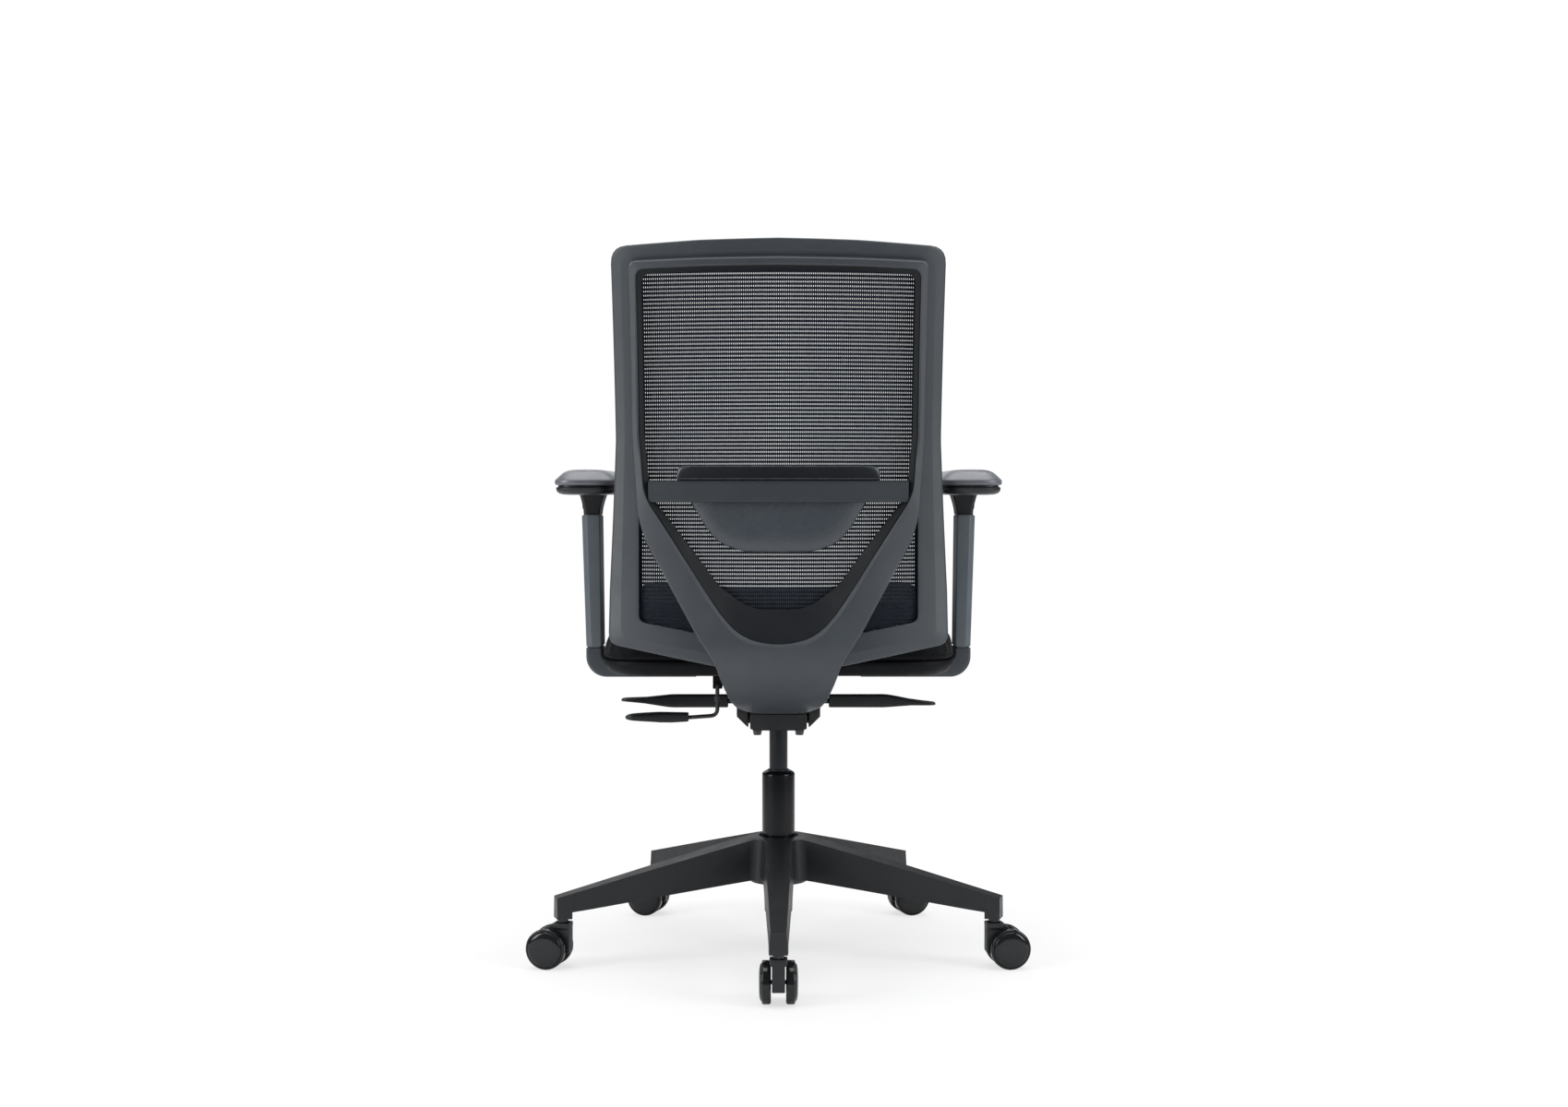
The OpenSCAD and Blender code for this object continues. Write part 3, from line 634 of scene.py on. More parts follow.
def at_caster(shape, index):
    """Puts a caster's own frame at its stem: the wheels trail towards +X."""
    angle = math.radians(90 + 360 / ARMS * (index - 1))
    turn = Matrix.Rotation(math.radians(TRAIL_HEADING[index - 1]), 3, "Z")
    return moved(shape, turn, (STEM_REACH * math.cos(angle), STEM_REACH * math.sin(angle), 0))


def on_axle(shape, side):
    """Turns a lathed shape so that its axis is a wheel axle, with height as the distance from the middle."""
    turn = Matrix.Rotation(math.radians(-90 * side), 3, "X")
    return moved(shape, turn, (TRAIL, 0, WHEEL_R))


def wheel_profile():
    inner, outer, r, near_r, far_r = 10.5, WHEEL_FACE, WHEEL_R, 3, 2.6
    near = [(r - near_r + near_r * math.cos(a), inner + near_r - near_r * math.sin(a))
            for a in np.linspace(math.pi / 2, 0, 5)]
    far = [(r - far_r + far_r * math.cos(a), outer - far_r + far_r * math.sin(a))
           for a in np.linspace(0, math.pi / 2, 7)]
    back = [(r - 3.2, outer), (r - 3.5, outer - 0.7), (r - 3.6, outer - 2), (r - 14, outer - 3),
            (5, outer - 3), (5, inner + 3), (r - 10, inner + 3), (r - 9, inner)]
    return near + far + back


def cap_profile():
    """The wheel's cap: nearly flat in the middle, with a round shoulder down to the rim."""
    r, dome = WHEEL_R - 3.9, 4.1
    skirt = [(0, WHEEL_FACE - 2), (r - 0.5, WHEEL_FACE - 2), (r, WHEEL_FACE - 1.5), (r, WHEEL_FACE - 0.2)]
    return skirt + [(r * share, WHEEL_FACE + dome * math.sqrt(1 - share ** 4))
                    for share in (0.995, 0.98, 0.95, 0.9, 0.82, 0.7, 0.5, 0.25, 0)]


def caster_shapes():
    low, high = body_low[2], body_high[2]
    yoke = rounded([(-YOKE_HALF, low, 5), (-YOKE_HALF, 64, 1), (-YOKE_HALF, high, 3), (YOKE_HALF, high, 8),
                    (TRAIL + 12, 50, 16), (TRAIL + 13.5, low, 6)], closed=True)
    block = rectangle(-YOKE_HALF, -YOKE_HALF, YOKE_HALF, YOKE_HALF, 4)
    head = solid([level(block * scale, z) for scale, z in ((0.72, 57), (0.99, 61), (0.99, high))])
    stem = [(0, 47), (5.5, 47), (5.5, 68.4), (7.4, 68.4), (8, 69), (8, 73), (7.4, 73.6), (5.5, 73.6),
            (5.5, pins_high[2]), (0, pins_high[2])]
    axle = [(0, -21), (3, -21), (3, 21), (0, 21)]
    return together(prism(yoke, -9, 9), head), together(lathe(stem, 48), on_axle(lathe(axle, 24), 1))


def casters():
    yoke, pins = caster_shapes()
    tyre, cap = lathe(wheel_profile()), lathe(cap_profile())
    for k in range(1, ARMS + 1):
        body = f"caster_{k}"
        piece(f"caster_yoke_{k}", at_caster(yoke, k), "base_nylon", body, [f"caster_body_{k}"], bevel=1.6)
        piece(f"caster_stem_{k}", at_caster(pins, k), "black_steel", body, [f"caster_pins_{k}"])
        for side, sign in SIDES.items():
            wheel = f"wheel_{side}_{k}"
            shapes = [at_caster(on_axle(shape, sign), k) for shape in (tyre, cap)]
            piece(f"wheel_tyre_{side}_{k}", shapes[0], "wheel_gloss", wheel, [wheel], crease=40)
            piece(f"wheel_cap_{side}_{k}", shapes[1], "wheel_gloss", wheel, crease=40)


# ---------------------------------------------------------------- back

def mesh_y(z):
    """Distance of the mesh behind the column at height z, on the chair's centre line."""
    return LUMBAR_Y + BACK_LEAN * ((z - LUMBAR_Z) / (BACK_TOP - LUMBAR_Z)) ** 2


def wrap(x, y):
    """Where a point at distance y on the centre line goes when the back wraps round the sitter."""
    return np.sqrt((y - WRAP_CENTRE) ** 2 - x * x) + WRAP_CENTRE


def on_mesh(point, depth):
    """A point seen from behind, (x, z), placed `depth` behind the mesh."""
    x, z = point
    return np.array((x, wrap(x, mesh_y(z) + depth), z))


def rear_path():
    """Side view of the spine's rear face: (s, y, z), where s is the height above 450 and goes on down
    round the foot by the length of the path."""
    ring = [(z, mesh_y(z) + RING_REAR, z) for z in range(1060, 630, -60)]
    bend = [(600, 238, 600), (560, 244, 560), (520, 248, 520), (480, 249, 480), (450, 242, 450)]
    foot = [(415.6, 222, 422), (377.3, 190, 400.5), (345, 160, 388), (321.6, 138, 380.6),
            (283.6, 100, BOLT_FACE - 1)]
    knots = np.array(ring + bend + foot, float)[::-1]
    tangents = np.gradient(knots[:, 1:], knots[:, 0], axis=0)
    fine = []
    for k in range(len(knots) - 1):
        length = knots[k + 1, 0] - knots[k, 0]
        for t in np.linspace(0, 1, 12, endpoint=False):
            a, b = 2 * t ** 3 - 3 * t ** 2 + 1, t ** 3 - 2 * t ** 2 + t
            c, d = 3 * t ** 2 - 2 * t ** 3, t ** 3 - t ** 2
            place = (a * knots[k, 1:] + b * length * tangents[k] + c * knots[k + 1, 1:]
                     + d * length * tangents[k + 1])
            fine.append((knots[k, 0] + t * length, *place))
    fine.append(tuple(knots[-1]))
    return np.array(fine)


REAR = rear_path()
REAR_SLOPE = np.gradient(REAR[:, 1:], REAR[:, 0], axis=0)


def on_spine(point, depth):
    """A point of the spine's outline, (x, s), placed `depth` in front of its rear face."""
    x, s = point
    y, z = (np.interp(s, REAR[:, 0], REAR[:, k]) for k in (1, 2))
    dy, dz = (np.interp(s, REAR[:, 0], REAR_SLOPE[:, k]) for k in (0, 1))
    size = math.hypot(dy, dz)
    return np.array((x, wrap(x, y - dz / size * depth), z + dy / size * depth))


def swept(outer, inner, section, place):
    """A closed ring between two matched loops. section(outer, inner) gives points (distance across,
    depth)."""
    rows = []
    for a, b in zip(outer, inner):
        across = (b - a) / max(np.linalg.norm(b - a), 1e-6)
        rows.append(np.array([place(a + across * u, d) for u, d in section(a, b)]))
    return skin(rows, along=True)


# half outlines are (x, path length or height, corner radius), from the middle above to the middle below
SPINE_STEPS = (5, 5, 14, 9, 14, 4, 4, 4, 4, 4, 4, 4)
SPINE_OUTER = [(0, RING_TOP, 0), (110, RING_TOP - 1, 400), (RING_HALF, RING_TOP - 3, 9),
               (RING_HALF - 1, 783, 250), (199, 653, 150), (117, 505, 200), (89, 461, 60), (76, 416, 60),
               (68, 383, 60), (60, 356, 26), (44, 333, 20), (24, 322, 30), (0, 319, 0)]
SPINE_CREASE = [(0, RING_TOP - 10, 0), (110, RING_TOP - 11, 400), (RING_HALF - 10.5, RING_TOP - 13.5, 13),
                (RING_HALF - 11, 785, 200), (191, 699, 70), (98, 557, 150), (82, 534, 60), (68, 517, 60),
                (54, 505, 60), (38, 497, 40), (20, 492.5, 30), (8, 491.2, 10), (0, 491, 0)]
SPINE_INNER = [(0, RING_TOP - 18, 0), (110, RING_TOP - 19, 400), (RING_HALF - 19, RING_TOP - 22, 13),
               (RING_HALF - 19.5, 785, 200), (182, 700, 60), (85, 577, 150), (66, 562, 60), (52, 551, 60),
               (38, 544.5, 60), (26, 541.5, 40), (12, 540.2, 30), (5, 540, 10), (0, 540, 0)]


def spine_depth(s):
    return float(np.interp(s, (440, 480, 540, 640), (14, 20, 22, 16.2)))


def back_spine():
    outer, crease, inner = (both_halves(rounded(corners, SPINE_STEPS))
                            for corners in (SPINE_OUTER, SPINE_CREASE, SPINE_INNER))

    def face(a, b):
        width = np.linalg.norm(b - a)
        out_t, in_t = spine_depth(a[1]), spine_depth(b[1])
        cut = float(np.interp(b[1], (600, 690), (7, 2.5)))
        tilt = float(np.interp(a[1], (420, 600), (0.4, 2.3)))
        corners = [(0, out_t, 1.5), (0, tilt, 3), (width - cut, 0, 1), (width, cut * 0.6, 1.2),
                   (width + 1, in_t, 0.6)]
        return rounded(corners, (2, 14, 2, 2, 14), closed=True)

    def liner(a, b):
        width = np.linalg.norm(b - a)
        deep = float(np.interp(a[1], (600, 700), (spine_depth(a[1]) - 2, 9)))
        corners = [(-2, 6.5, 0.4), (-2, 4, 0.4), (1.5, 4.6, 2), (width - 1, deep, 1.2),
                   (width, deep + 2.5, 0.8)]
        return rounded(corners, (1, 1, 8, 1, 8), closed=True)

    piece("back_spine_moulding", swept(outer, crease, face, on_spine), "frame_plastic", "back",
          ["back_spine"], crease=50)
    # the window's inner slope is near black, much darker than the frame around it
    piece("back_window_liner", swept(crease, inner, liner, on_spine), "near_black_plastic", "back",
          crease=50)


def spine_foot():
    """The front end of the foot, flat on the bracket, that the two bolts hold."""
    side = rectangle(-FOOT_HALF, BOLT_FACE + 0.3, FOOT_HALF, BOLT_FACE + 14, 2)
    # coloured like the housing's casting; the dark colour also serves as painted shade for the gap between
    # spine and housing
    piece("back_spine_foot", prism(side, 101, 136), "mechanism_casting", "back",
          crease=50)


def crossbar():
    middle = (BAR_LOW + BAR_HIGH) / 2
    half = (BAR_HIGH - BAR_LOW) / 2
    section = rounded([(-half, 9.5, 1), (-half + 0.6, 4.6, 1.6), (half - 1.5, 2.2, 2), (half, 9.5, 1)],
                      (2, 6, 2, 4), closed=True)
    reach = RING_HALF - 24
    rows = [np.array([on_spine((x, middle + up), depth) for up, depth in section])
            for x in np.linspace(-reach, reach, 41)]
    # its darker colour than the frame is painted shade
    piece("back_crossbar", solid(rows), "bar_painted_shade_plastic", "back", crease=50)


FRAME_STEPS = (5, 5, 12, 12, 4, 8, 5)
FRAME_OUTER = [(0, BACK_TOP, 0), (110, BACK_TOP - 2, 400), (BACK_HALF, BACK_TOP - 8, 24),
               (BACK_HALF - 2, 780, 300), (BACK_HALF + 8.5, 562, 200), (BACK_HALF + 10, 487, 18),
               (90, 457.5, 80), (0, BACK_BOTTOM, 0)]
FRAME_INNER = [(0, MESH_TOP, 0), (110, BACK_TOP - 39, 400), (199, BACK_TOP - 41, 12),
               (199, 790, 300), (199.5, 600, 300), (199.5, 519.5, 13), (118, 505, 60), (0, 494, 0)]


def mesh_frame():
    outer, inner = (both_halves(rounded(corners, FRAME_STEPS)) for corners in (FRAME_OUTER, FRAME_INNER))

    def section(a, b):
        width = np.linalg.norm(b - a)
        corners = [(0, -6.8, 4), (0, 4.2, 4.5), (width * 0.4, 6.8, 14), (width, 6.8, 1.8), (width, -6.8, 3)]
        return rounded(corners, (2, 3, 4, 3, 5), closed=True)

    piece("back_frame_moulding", swept(outer, inner, section, on_mesh), "frame_plastic", "back",
          ["mesh_frame"], crease=50)


def back_mesh():
    """Knitted mesh with real holes in rows, solid along its border. Every second strip between two grid
    lines, in both directions, is a hole."""
    half = rounded(FRAME_INNER, FRAME_STEPS)
    opening = half[np.argsort(half[:, 1])]
    count_x = int(200 / HOLE_PITCH)
    count_z = int((MESH_TOP - MESH_LOW) / ROW_PITCH)
    xs = [c * HOLE_PITCH + e * HOLE_W / 2 for c in range(-count_x, count_x + 1) for e in (-1, 1)]
    xs = [-MESH_HALF] + xs + [MESH_HALF]
    zs = [MESH_LOW + 2 + r * ROW_PITCH + e * HOLE_H / 2 for r in range(count_z + 1) for e in (-1, 1)]
    zs = [MESH_LOW - 6] + zs + [MESH_TOP + 5]
    points = np.array([on_mesh((x, z), 0) for z in zs for x in xs])
    size = len(xs)
    faces = []
    for r in range(len(zs) - 1):
        z = (zs[r] + zs[r + 1]) / 2
        limit = np.interp(z, opening[:, 1], opening[:, 0])
        open_row = r % 2 == 1 and MESH_LOW + 5 < z < MESH_TOP - 4
        for c in range(size - 1):
            x = abs(xs[c] + xs[c + 1]) / 2
            hole = open_row and c % 2 == 1 and x < limit - 4
            if hole or x > limit + MESH_BORDER:
                continue
            a = r * size + c
            faces.append((a, a + 1, a + size + 1, a + size))
    used = sorted({v for face in faces for v in face})
    place = {v: k for k, v in enumerate(used)}
    knit = points[used], [tuple(place[v] for v in face) for face in faces]
    fabric = piece("back_mesh_fabric", knit, "mesh_fabric", "back", ["back_mesh"])
    thick = fabric.modifiers.new("yarn", "SOLIDIFY")
    thick.thickness = YARN * MM
    thick.offset = 0


LUMBAR_SHAPE = [(0, LUMBAR_TOP, 0), (LUMBAR_HALF_W, LUMBAR_TOP, 27), (LUMBAR_HALF_W, 713, 14),
                (124, 690, 40), (107, 661, 60), (84, 631, 52), (46, 620.5, 60), (0, 620, 0)]


def lumbar_pad():
    outline = both_halves(rounded(LUMBAR_SHAPE, (8, 3, 4, 4, 4, 4, 6)))
    centre = np.array((0, LUMBAR_MIDDLE))

    def ring(inset, depth):
        points = []
        for point in outline:
            away = point - centre
            reach = np.linalg.norm(away)
            x, z = centre + away * (1 - min(inset / reach, 0.62))
            fold = np.clip((z - LUMBAR_FOLD + 16) / 8, 0, 1)
            points.append(on_mesh((x, z), depth * (1 - fold) + min(depth, 8) * fold))
        return np.array(points)

    rims = [ring(inset, depth) for inset, depth in
            ((0, 4.6), (0, 6), (0.8, 7), (3, 8), (7, 9.2), (12, 10.2), (19, 11), (30, 11.3), (44, 11))]
    mid = np.array([on_mesh(centre + (p - centre) * 0.3, 10.9) for p in outline])
    front = [np.array([on_mesh(centre + (p - centre) * t, 4.2) for p in outline]) for t in (0.4, 0.98)]
    shape = solid(front + rims + [mid])
    piece("lumbar_plate", shape, "lumbar_plastic", "lumbar", ["lumbar_pad"], crease=60)


def lumbar_grip():
    """The upper strip of the lumbar support, coloured near black as painted shade, with a raised lip along
    the crossbar.
    """
    low, high, half_w, corner = LUMBAR_FOLD + 1, 741, 142.8, 24
    rows = []
    for x in half_w * np.sin(np.linspace(-1, 1, 61) * math.pi / 2):
        past = max(0, abs(x) - (half_w - corner)) / corner
        top = high - 14 * (1 - math.sqrt(max(0, 1 - past ** 2)))
        section = [(low, 8.2), (low, 10.4), (top - 2.4, 10), (top - 0.8, 9.6), (top, 8.6), (top, 8)]
        rows.append(np.array([on_mesh((x, z), depth) for z, depth in section]))
    # near black: painted shade for the strip above the crossbar
    piece("lumbar_grip", solid(rows), "near_black_plastic", "lumbar", crease=50)
    edge = ((-0.6, 8.6), (-0.6, 10.6), (0.2, 11.4), (1.8, 11.2), (2.4, 10.2), (2.4, 8.6))
    lip = [np.array([on_mesh((x, LUMBAR_FOLD + up), depth) for up, depth in edge])
           for x in np.linspace(-143, 143, 41)]
    piece("lumbar_lip", solid(lip), "lumbar_plastic", "lumbar", crease=50)


# ---------------------------------------------------------------- seat

def seat_outline(inset):
    half_w, front, rear = cushion_high[0] - inset, cushion_low[1] + inset, cushion_high[1] - inset
    rear_r, front_r = max(80 - inset, 30), max(100 - inset, 30)
    corners = [(half_w, rear, rear_r), (half_w, -60, 400), (half_w, front, front_r), (0, front, 0),
               (-half_w, front, front_r), (-half_w, -60, 400), (-half_w, rear, rear_r), (0, rear, 0)]
    return rounded(corners, 6, closed=True)


def puff(obj, voxel, pressure, cap, held_below):
    """Blows a closed shape up like a stuffed cushion, held where it is glued down, by at most `cap`.
    Gives the new places in metres."""
    remesh = obj.modifiers.new("remesh", "REMESH")
    remesh.mode = "VOXEL"
    remesh.voxel_size = voxel * MM
    keep_modified(obj)
    start = np.array([v.co for v in obj.data.vertices])
    glued = obj.vertex_groups.new(name="glued")
    glued.add([int(k) for k in np.flatnonzero(start[:, 2] < held_below * MM)], 1.0, "REPLACE")
    cloth = obj.modifiers.new("cloth", "CLOTH")
    cloth.settings.vertex_group_mass = "glued"
    cloth.settings.use_pressure = True
    cloth.settings.uniform_pressure_force = pressure
    cloth.settings.effector_weights.gravity = 0
    cloth.settings.quality = 6
    cloth.point_cache.frame_start = 1
    cloth.point_cache.frame_end = PUFF_FRAMES
    for number in range(1, PUFF_FRAMES + 1):
        scene.frame_set(number)
    keep_modified(obj)
    scene.frame_set(1)
    obj.vertex_groups.clear()
    shift = np.array([v.co for v in obj.data.vertices]) - start
    size = np.linalg.norm(shift, axis=1, keepdims=True)
    return start + shift * np.minimum(1, cap * MM / np.maximum(size, 1e-9))


def keep_modified(obj):
    """Replaces an object's mesh by what its modifiers make of it."""
    graph = bpy.context.evaluated_depsgraph_get()
    mesh = bpy.data.meshes.new_from_object(obj.evaluated_get(graph))
    obj.modifiers.clear()
    obj.data = mesh


def seat_top(y):
    """Height of the cushion's sloping top, which rises towards the front."""
    return REAR_TOP + SEAT_RISE * (cushion_high[1] - y) / (cushion_high[1] - cushion_low[1])


def seat_cushion():
    low = cushion_low[2]
    levels = ((12, 0.01), (5, 0.05), (2, 0.15), (2.5, 0.32), (5, 0.58), (9, 0.76), (16, 0.88), (28, 0.93),
              (80, 0.93), (140, 0.91))
    rows = []
    for inset, share in levels:
        outline = seat_outline(inset)
        rows.append(level(outline, low + share * (seat_top(outline[:, 1]) - low)))
    cushion = piece("seat_cushion_pad", solid(rows), "seat_fabric", "seat", ["seat_cushion"],
                    crease=180)
    places = keep_inside(puff(cushion, voxel=6, pressure=4, cap=22, held_below=low + 14))
    cushion.data.vertices.foreach_set("co", places.ravel())
    cushion.data.polygons.foreach_set("use_smooth", [True] * len(cushion.data.polygons))
    if not cushion.data.materials:
        cushion.data.materials.append(LOOK["seat_fabric"])
    divide = cushion.modifiers.new("smooth", "SUBSURF")
    divide.levels = divide.render_levels = 1
    return cushion


def smooth_step(share):
    share = np.clip(share, 0, 1)
    return share * share * (3 - 2 * share)


def eased(over, reach):
    """How far to move back what is `over` a limit, so that it flattens out within `reach` of it."""
    return np.where(over > 0, over - reach * np.tanh(over / reach), 0)


def keep_inside(places):
    """Eases swollen points back between the seat's pan, its sides and its sloping top, which is dished
    between the raised side bolsters."""
    places = places / MM
    middle = (cushion_low + cushion_high) / 2
    half = (cushion_high - cushion_low) / 2 - 1
    for axis in (0, 1):
        away = places[:, axis] - middle[axis]
        places[:, axis] -= np.sign(away) * eased(np.abs(away) - half[axis] + SIDE_EASE, SIDE_EASE)
    bolster = smooth_step((np.abs(places[:, 0]) - DISH_HALF) / BOLSTER_WIDTH)
    top = seat_top(places[:, 1]) - DISH_DEPTH + BOLSTER_RISE * bolster
    places[:, 2] -= eased(places[:, 2] - top + TOP_EASE, TOP_EASE)
    places[:, 2] = np.maximum(places[:, 2], cushion_low[2] + 0.6)
    return places * MM


def seat_shell():
    """The plastic pan under the cushion, with a skirt that hangs lower behind the arm brackets."""
    rings = ((12, 458), (4, 459), (3, 457), (3, 452), (6, 446), (12, 440.5), (19, 437.4), (30, 436.2),
             (50, 436), (84, 436), (PAN_INSET, PAN_LOW))
    rows = []
    for inset, z in rings:
        outline = seat_outline(inset)
        hang = smooth_step((outline[:, 1] - HANG_START) / HANG_LENGTH)
        rows.append(level(outline, z if z >= PAN_LOW else PAN_LOW + (z - PAN_LOW) * hang))
    rows.append(level(seat_outline(PAN_INSET) * 0.2, PAN_LOW))
    piece("seat_shell_pan", solid(rows), "shell_plastic", "seat", ["seat_shell"],
          crease=50)
    rail = [(RAIL_X - 6, RAIL_LOW), (RAIL_X + 6, RAIL_LOW), (RAIL_X + 6, PAN_LOW + 1), (RAIL_X, PAN_LOW + 1),
            (RAIL_X, RAIL_LOW + RAIL_THICK), (RAIL_X - 6, RAIL_LOW + RAIL_THICK)]
    clamp = [(WIRE_X - 7, 411.5), (WIRE_X + 7, 411.5), (WIRE_X + 7, PAN_LOW + 1), (WIRE_X - 7, PAN_LOW + 1)]
    parts = [prism([(side * x, z) for x, z in rail], -RAIL_HALF, RAIL_HALF) for side in SIDES.values()]
    parts.append(prism(clamp, WIRE_Y - 32, WIRE_Y - 6))
    piece("seat_shell_rails", together(*parts), "shell_plastic", "seat", bevel=0.8)


def piping(cushion, inset, share, radius, name):
    """A round cord sewn along the cushion's edge, laid on its surface."""
    bpy.context.view_layer.update()
    line = []
    for x, y in seat_outline(inset):
        height = cushion_low[2] + share * (seat_top(y) - cushion_low[2])
        place, normal = cushion.closest_point_on_mesh(Vector((x, y, height)) * MM)[1:3]
        line.append((np.array(place) / MM, np.array(normal)))
    rows = []
    for k, (place, normal) in enumerate(line):
        ahead = line[(k + 1) % len(line)][0] - line[k - 1][0]
        ahead /= max(np.linalg.norm(ahead), 1e-6)
        side = np.cross(ahead, normal)
        side /= max(np.linalg.norm(side), 1e-6)
        rows.append(circle(place, side, np.cross(side, ahead), radius, 10, lift=0.2))
    piece(name, skin(rows, along=True), "seat_fabric", "seat", crease=180)


# ---------------------------------------------------------------- arms

def stack(low, high, radius, levels):
    """A shape of rounded outlines at different heights: levels are (inset, z)."""
    rows = []
    for inset, z in levels:
        outline = rectangle(*(low[:2] + inset), *(high[:2] - inset), max(radius - inset, 2), (5, 12, 5, 12))
        rows.append(level(outline, z))
    return solid(rows)


def arm_pad():
    low, top = pad_low[2], pad_high[2]
    levels = ((6, low + 0.1), (2.4, low + 0.4), (0.7, low + 1.4), (0, low + 3), (0, low + 6.8),
              (0.7, low + 8.2), (2.8, low + 10.4), (6, low + 13.4), (9.8, low + 16.8), (14, low + 19.8),
              (20, low + 22.2), (28, top - 0.5), (40, top))
    return stack(pad_low, pad_high, PAD_CORNER, levels)


def arm_pad_base():
    low, top = pad_base_low[2], pad_base_high[2]
    levels = ((22, low), (12, low + 0.6), (6.5, low + 2.2), (3.4, low + 4.6), (2.2, low + 7.4),
              (2, low + 10.8), (3, low + 11.6), (5, low + 12), (5, top))
    return stack(pad_low, pad_high, PAD_CORNER, levels)


def upright(levels, chamfer, radius=2.5):
    """A post from rectangles at different heights, (x0, x1, half depth, z), with chamfers on its outer
    corners. A fifth value is that level's own chamfer."""
    rows = []
    for x0, x1, half, z, *own in levels:
        c = own[0] if own else chamfer
        corners = ((x0, -half), (x1 - c, -half), (x1, -half + c), (x1, half - c), (x1 - c, half), (x0, half))
        outline = rounded([(x, y, radius) for x, y in corners], (2, 1, 4, 1, 2, 4), closed=True)
        rows.append(level(outline, z))
    return solid(rows)


def arm_sleeve():
    low, top = sleeve_low[2], sleeve_high[2]
    near, near_top = sleeve_low[0], sleeve_low[0] + SLEEVE_LEAN
    far, far_top = bracket_high[0], sleeve_high[0]
    levels = [(near + SLEEVE_LEAN * t, far + (far_top - far) * t, SLEEVE_HALF_D, low + (top - low) * t)
              for t in np.linspace(0, 1, 9)[1:-1]]

    def cut_in(x0, x1, z):
        return x0 + EDGE_CUT, x1 - EDGE_CUT, SLEEVE_HALF_D - EDGE_CUT, z

    levels[:0] = [cut_in(near, far, low), cut_in(near, far, low + SEAM),
                  (near, far, SLEEVE_HALF_D, low + SEAM)]
    levels += [(near_top, far_top, SLEEVE_HALF_D, top - SEAM), cut_in(near_top, far_top, top - SEAM),
               cut_in(near_top, far_top, top)]
    bore = (ARM_X - STEM_HALF_W - BORE_GAP, ARM_X + STEM_HALF_W + BORE_GAP, STEM_HALF_D + BORE_GAP)
    levels += [(*bore, z, 1.5) for z in (top, low + 20)]
    return upright(levels, 8)


def arm_neck():
    low, top = sleeve_high[2] + 0.3, stem_high[2]
    narrow, wide = (270, 295, 25.5), (stem_low[0], stem_high[0], 27)
    stem = (ARM_X - STEM_HALF_W, ARM_X + STEM_HALF_W, STEM_HALF_D)
    rows = [(*stem, z, 1.5) for z in (stem_low[2], low)]
    for t in np.linspace(0, 1, 10):
        rows.append((*(n + (w - n) * t ** 1.6 for n, w in zip(narrow, wide)), low + (top - low) * t))
    return upright(rows, 4)


def elbow(start, low, right, top, radius):
    """A horizontal run that turns upwards in an arc of this radius: 10 points, 9 on the arc, then 6."""
    run = [(x, low) for x in np.linspace(start, right - radius, 10)]
    turn = [(right - radius + radius * math.sin(a), low + radius - radius * math.cos(a))
            for a in np.linspace(0, math.pi / 2, 11)[1:-1]]
    return np.array(run + turn + [(right, z) for z in np.linspace(low + radius, top, 6)])


def arm_bracket():
    low, top, half = bracket_low[2], bracket_high[2], BRACKET_HALF_D
    outer = elbow(bracket_low[0], low, bracket_high[0], top, 31)
    inner = elbow(bracket_low[0], low + BRACKET_THICK, sleeve_low[0], top, 17)
    rows = []
    for a, b in zip(outer, inner):
        width = np.linalg.norm(b - a)
        across = (b - a) / width
        section = rounded([(0, -half, 5), (0, half, 5), (width, half, 3), (width, -half, 3)], (4, 2, 4, 2),
                          closed=True)
        rows.append(np.array([((a + across * u)[0], y, (a + across * u)[1]) for u, y in section]))
    middle = (rows[-1].max(axis=0) + rows[-1].min(axis=0)) / 2
    seam = middle + (rows[-1] - middle) * (0.86, 0.95, 1)
    rows[-1] = rows[-1] - (0, 0, SEAM)
    rows += [seam - (0, 0, SEAM), seam]
    return solid(rows)


def arms():
    parts = (("arm_pad_skin", arm_pad(), "pad_soft", "arm_", "arm_pad_", None),
             ("arm_pad_tray", arm_pad_base(), "black_plastic", "arm_", "arm_pad_base_", None),
             ("arm_post_sleeve", arm_sleeve(), "post_plastic", "seat", "arm_sleeve_", "frame_plastic"),
             ("arm_post_neck", arm_neck(), "black_plastic", "arm_", "arm_stem_", None),
             ("arm_support", arm_bracket(), "frame_plastic", "seat", "arm_bracket_", None))
    for name, shape, look, body, node, slot in parts:
        for side in SIDES:
            rides = body + side if body == "arm_" else body
            made = piece(f"{name}_{side}", mirrored(shape, side), look, rides, [node + side],
                         crease=50)


# ---------------------------------------------------------------- levers

def grip(stations, places, y, corner, height):
    """A paddle along X through stations (x, half height, half width, value), with height(value) as the
    height of its middle. The corner radius is a share of its smaller half."""
    knots = np.array(stations, float)
    rows = []
    for x in np.concatenate([np.linspace(*place) for place in places]):
        tall, wide, value = (np.interp(x, knots[:, 0], knots[:, k]) for k in (1, 2, 3))
        section = rectangle(-wide, -tall, wide, tall, min(tall, wide) * corner, 2)
        rows.append(np.array([(x, y + across, height(value) + up) for across, up in section]))
    return solid(rows)


def blade(tip_drop):
    """A paddle that is tall beside the mechanism and turns flat towards its tip."""
    stations = ((77, 8.6, 6.5, 0), (78, 9.8, 7.6, 0), (110, 9.8, 8, 0), (160, 9.8, 9, 0), (166, 9.4, 10, 0),
                (176, 7.9, 12.5, 0.1), (203, 3.7, 16.4, 0.5), (220, 2.5, 16.8, 0.8), (232, 1.9, 15.5, 0.95),
                (238, 1.5, 12.5, 1), (239.8, 0.8, 9, 1))
    places = ((77, 79, 3), (84, 230, 22), (233, 239.8, 5))
    return grip(stations, places, 0, 0.4, lambda share: LEVER_Z - tip_drop * share)


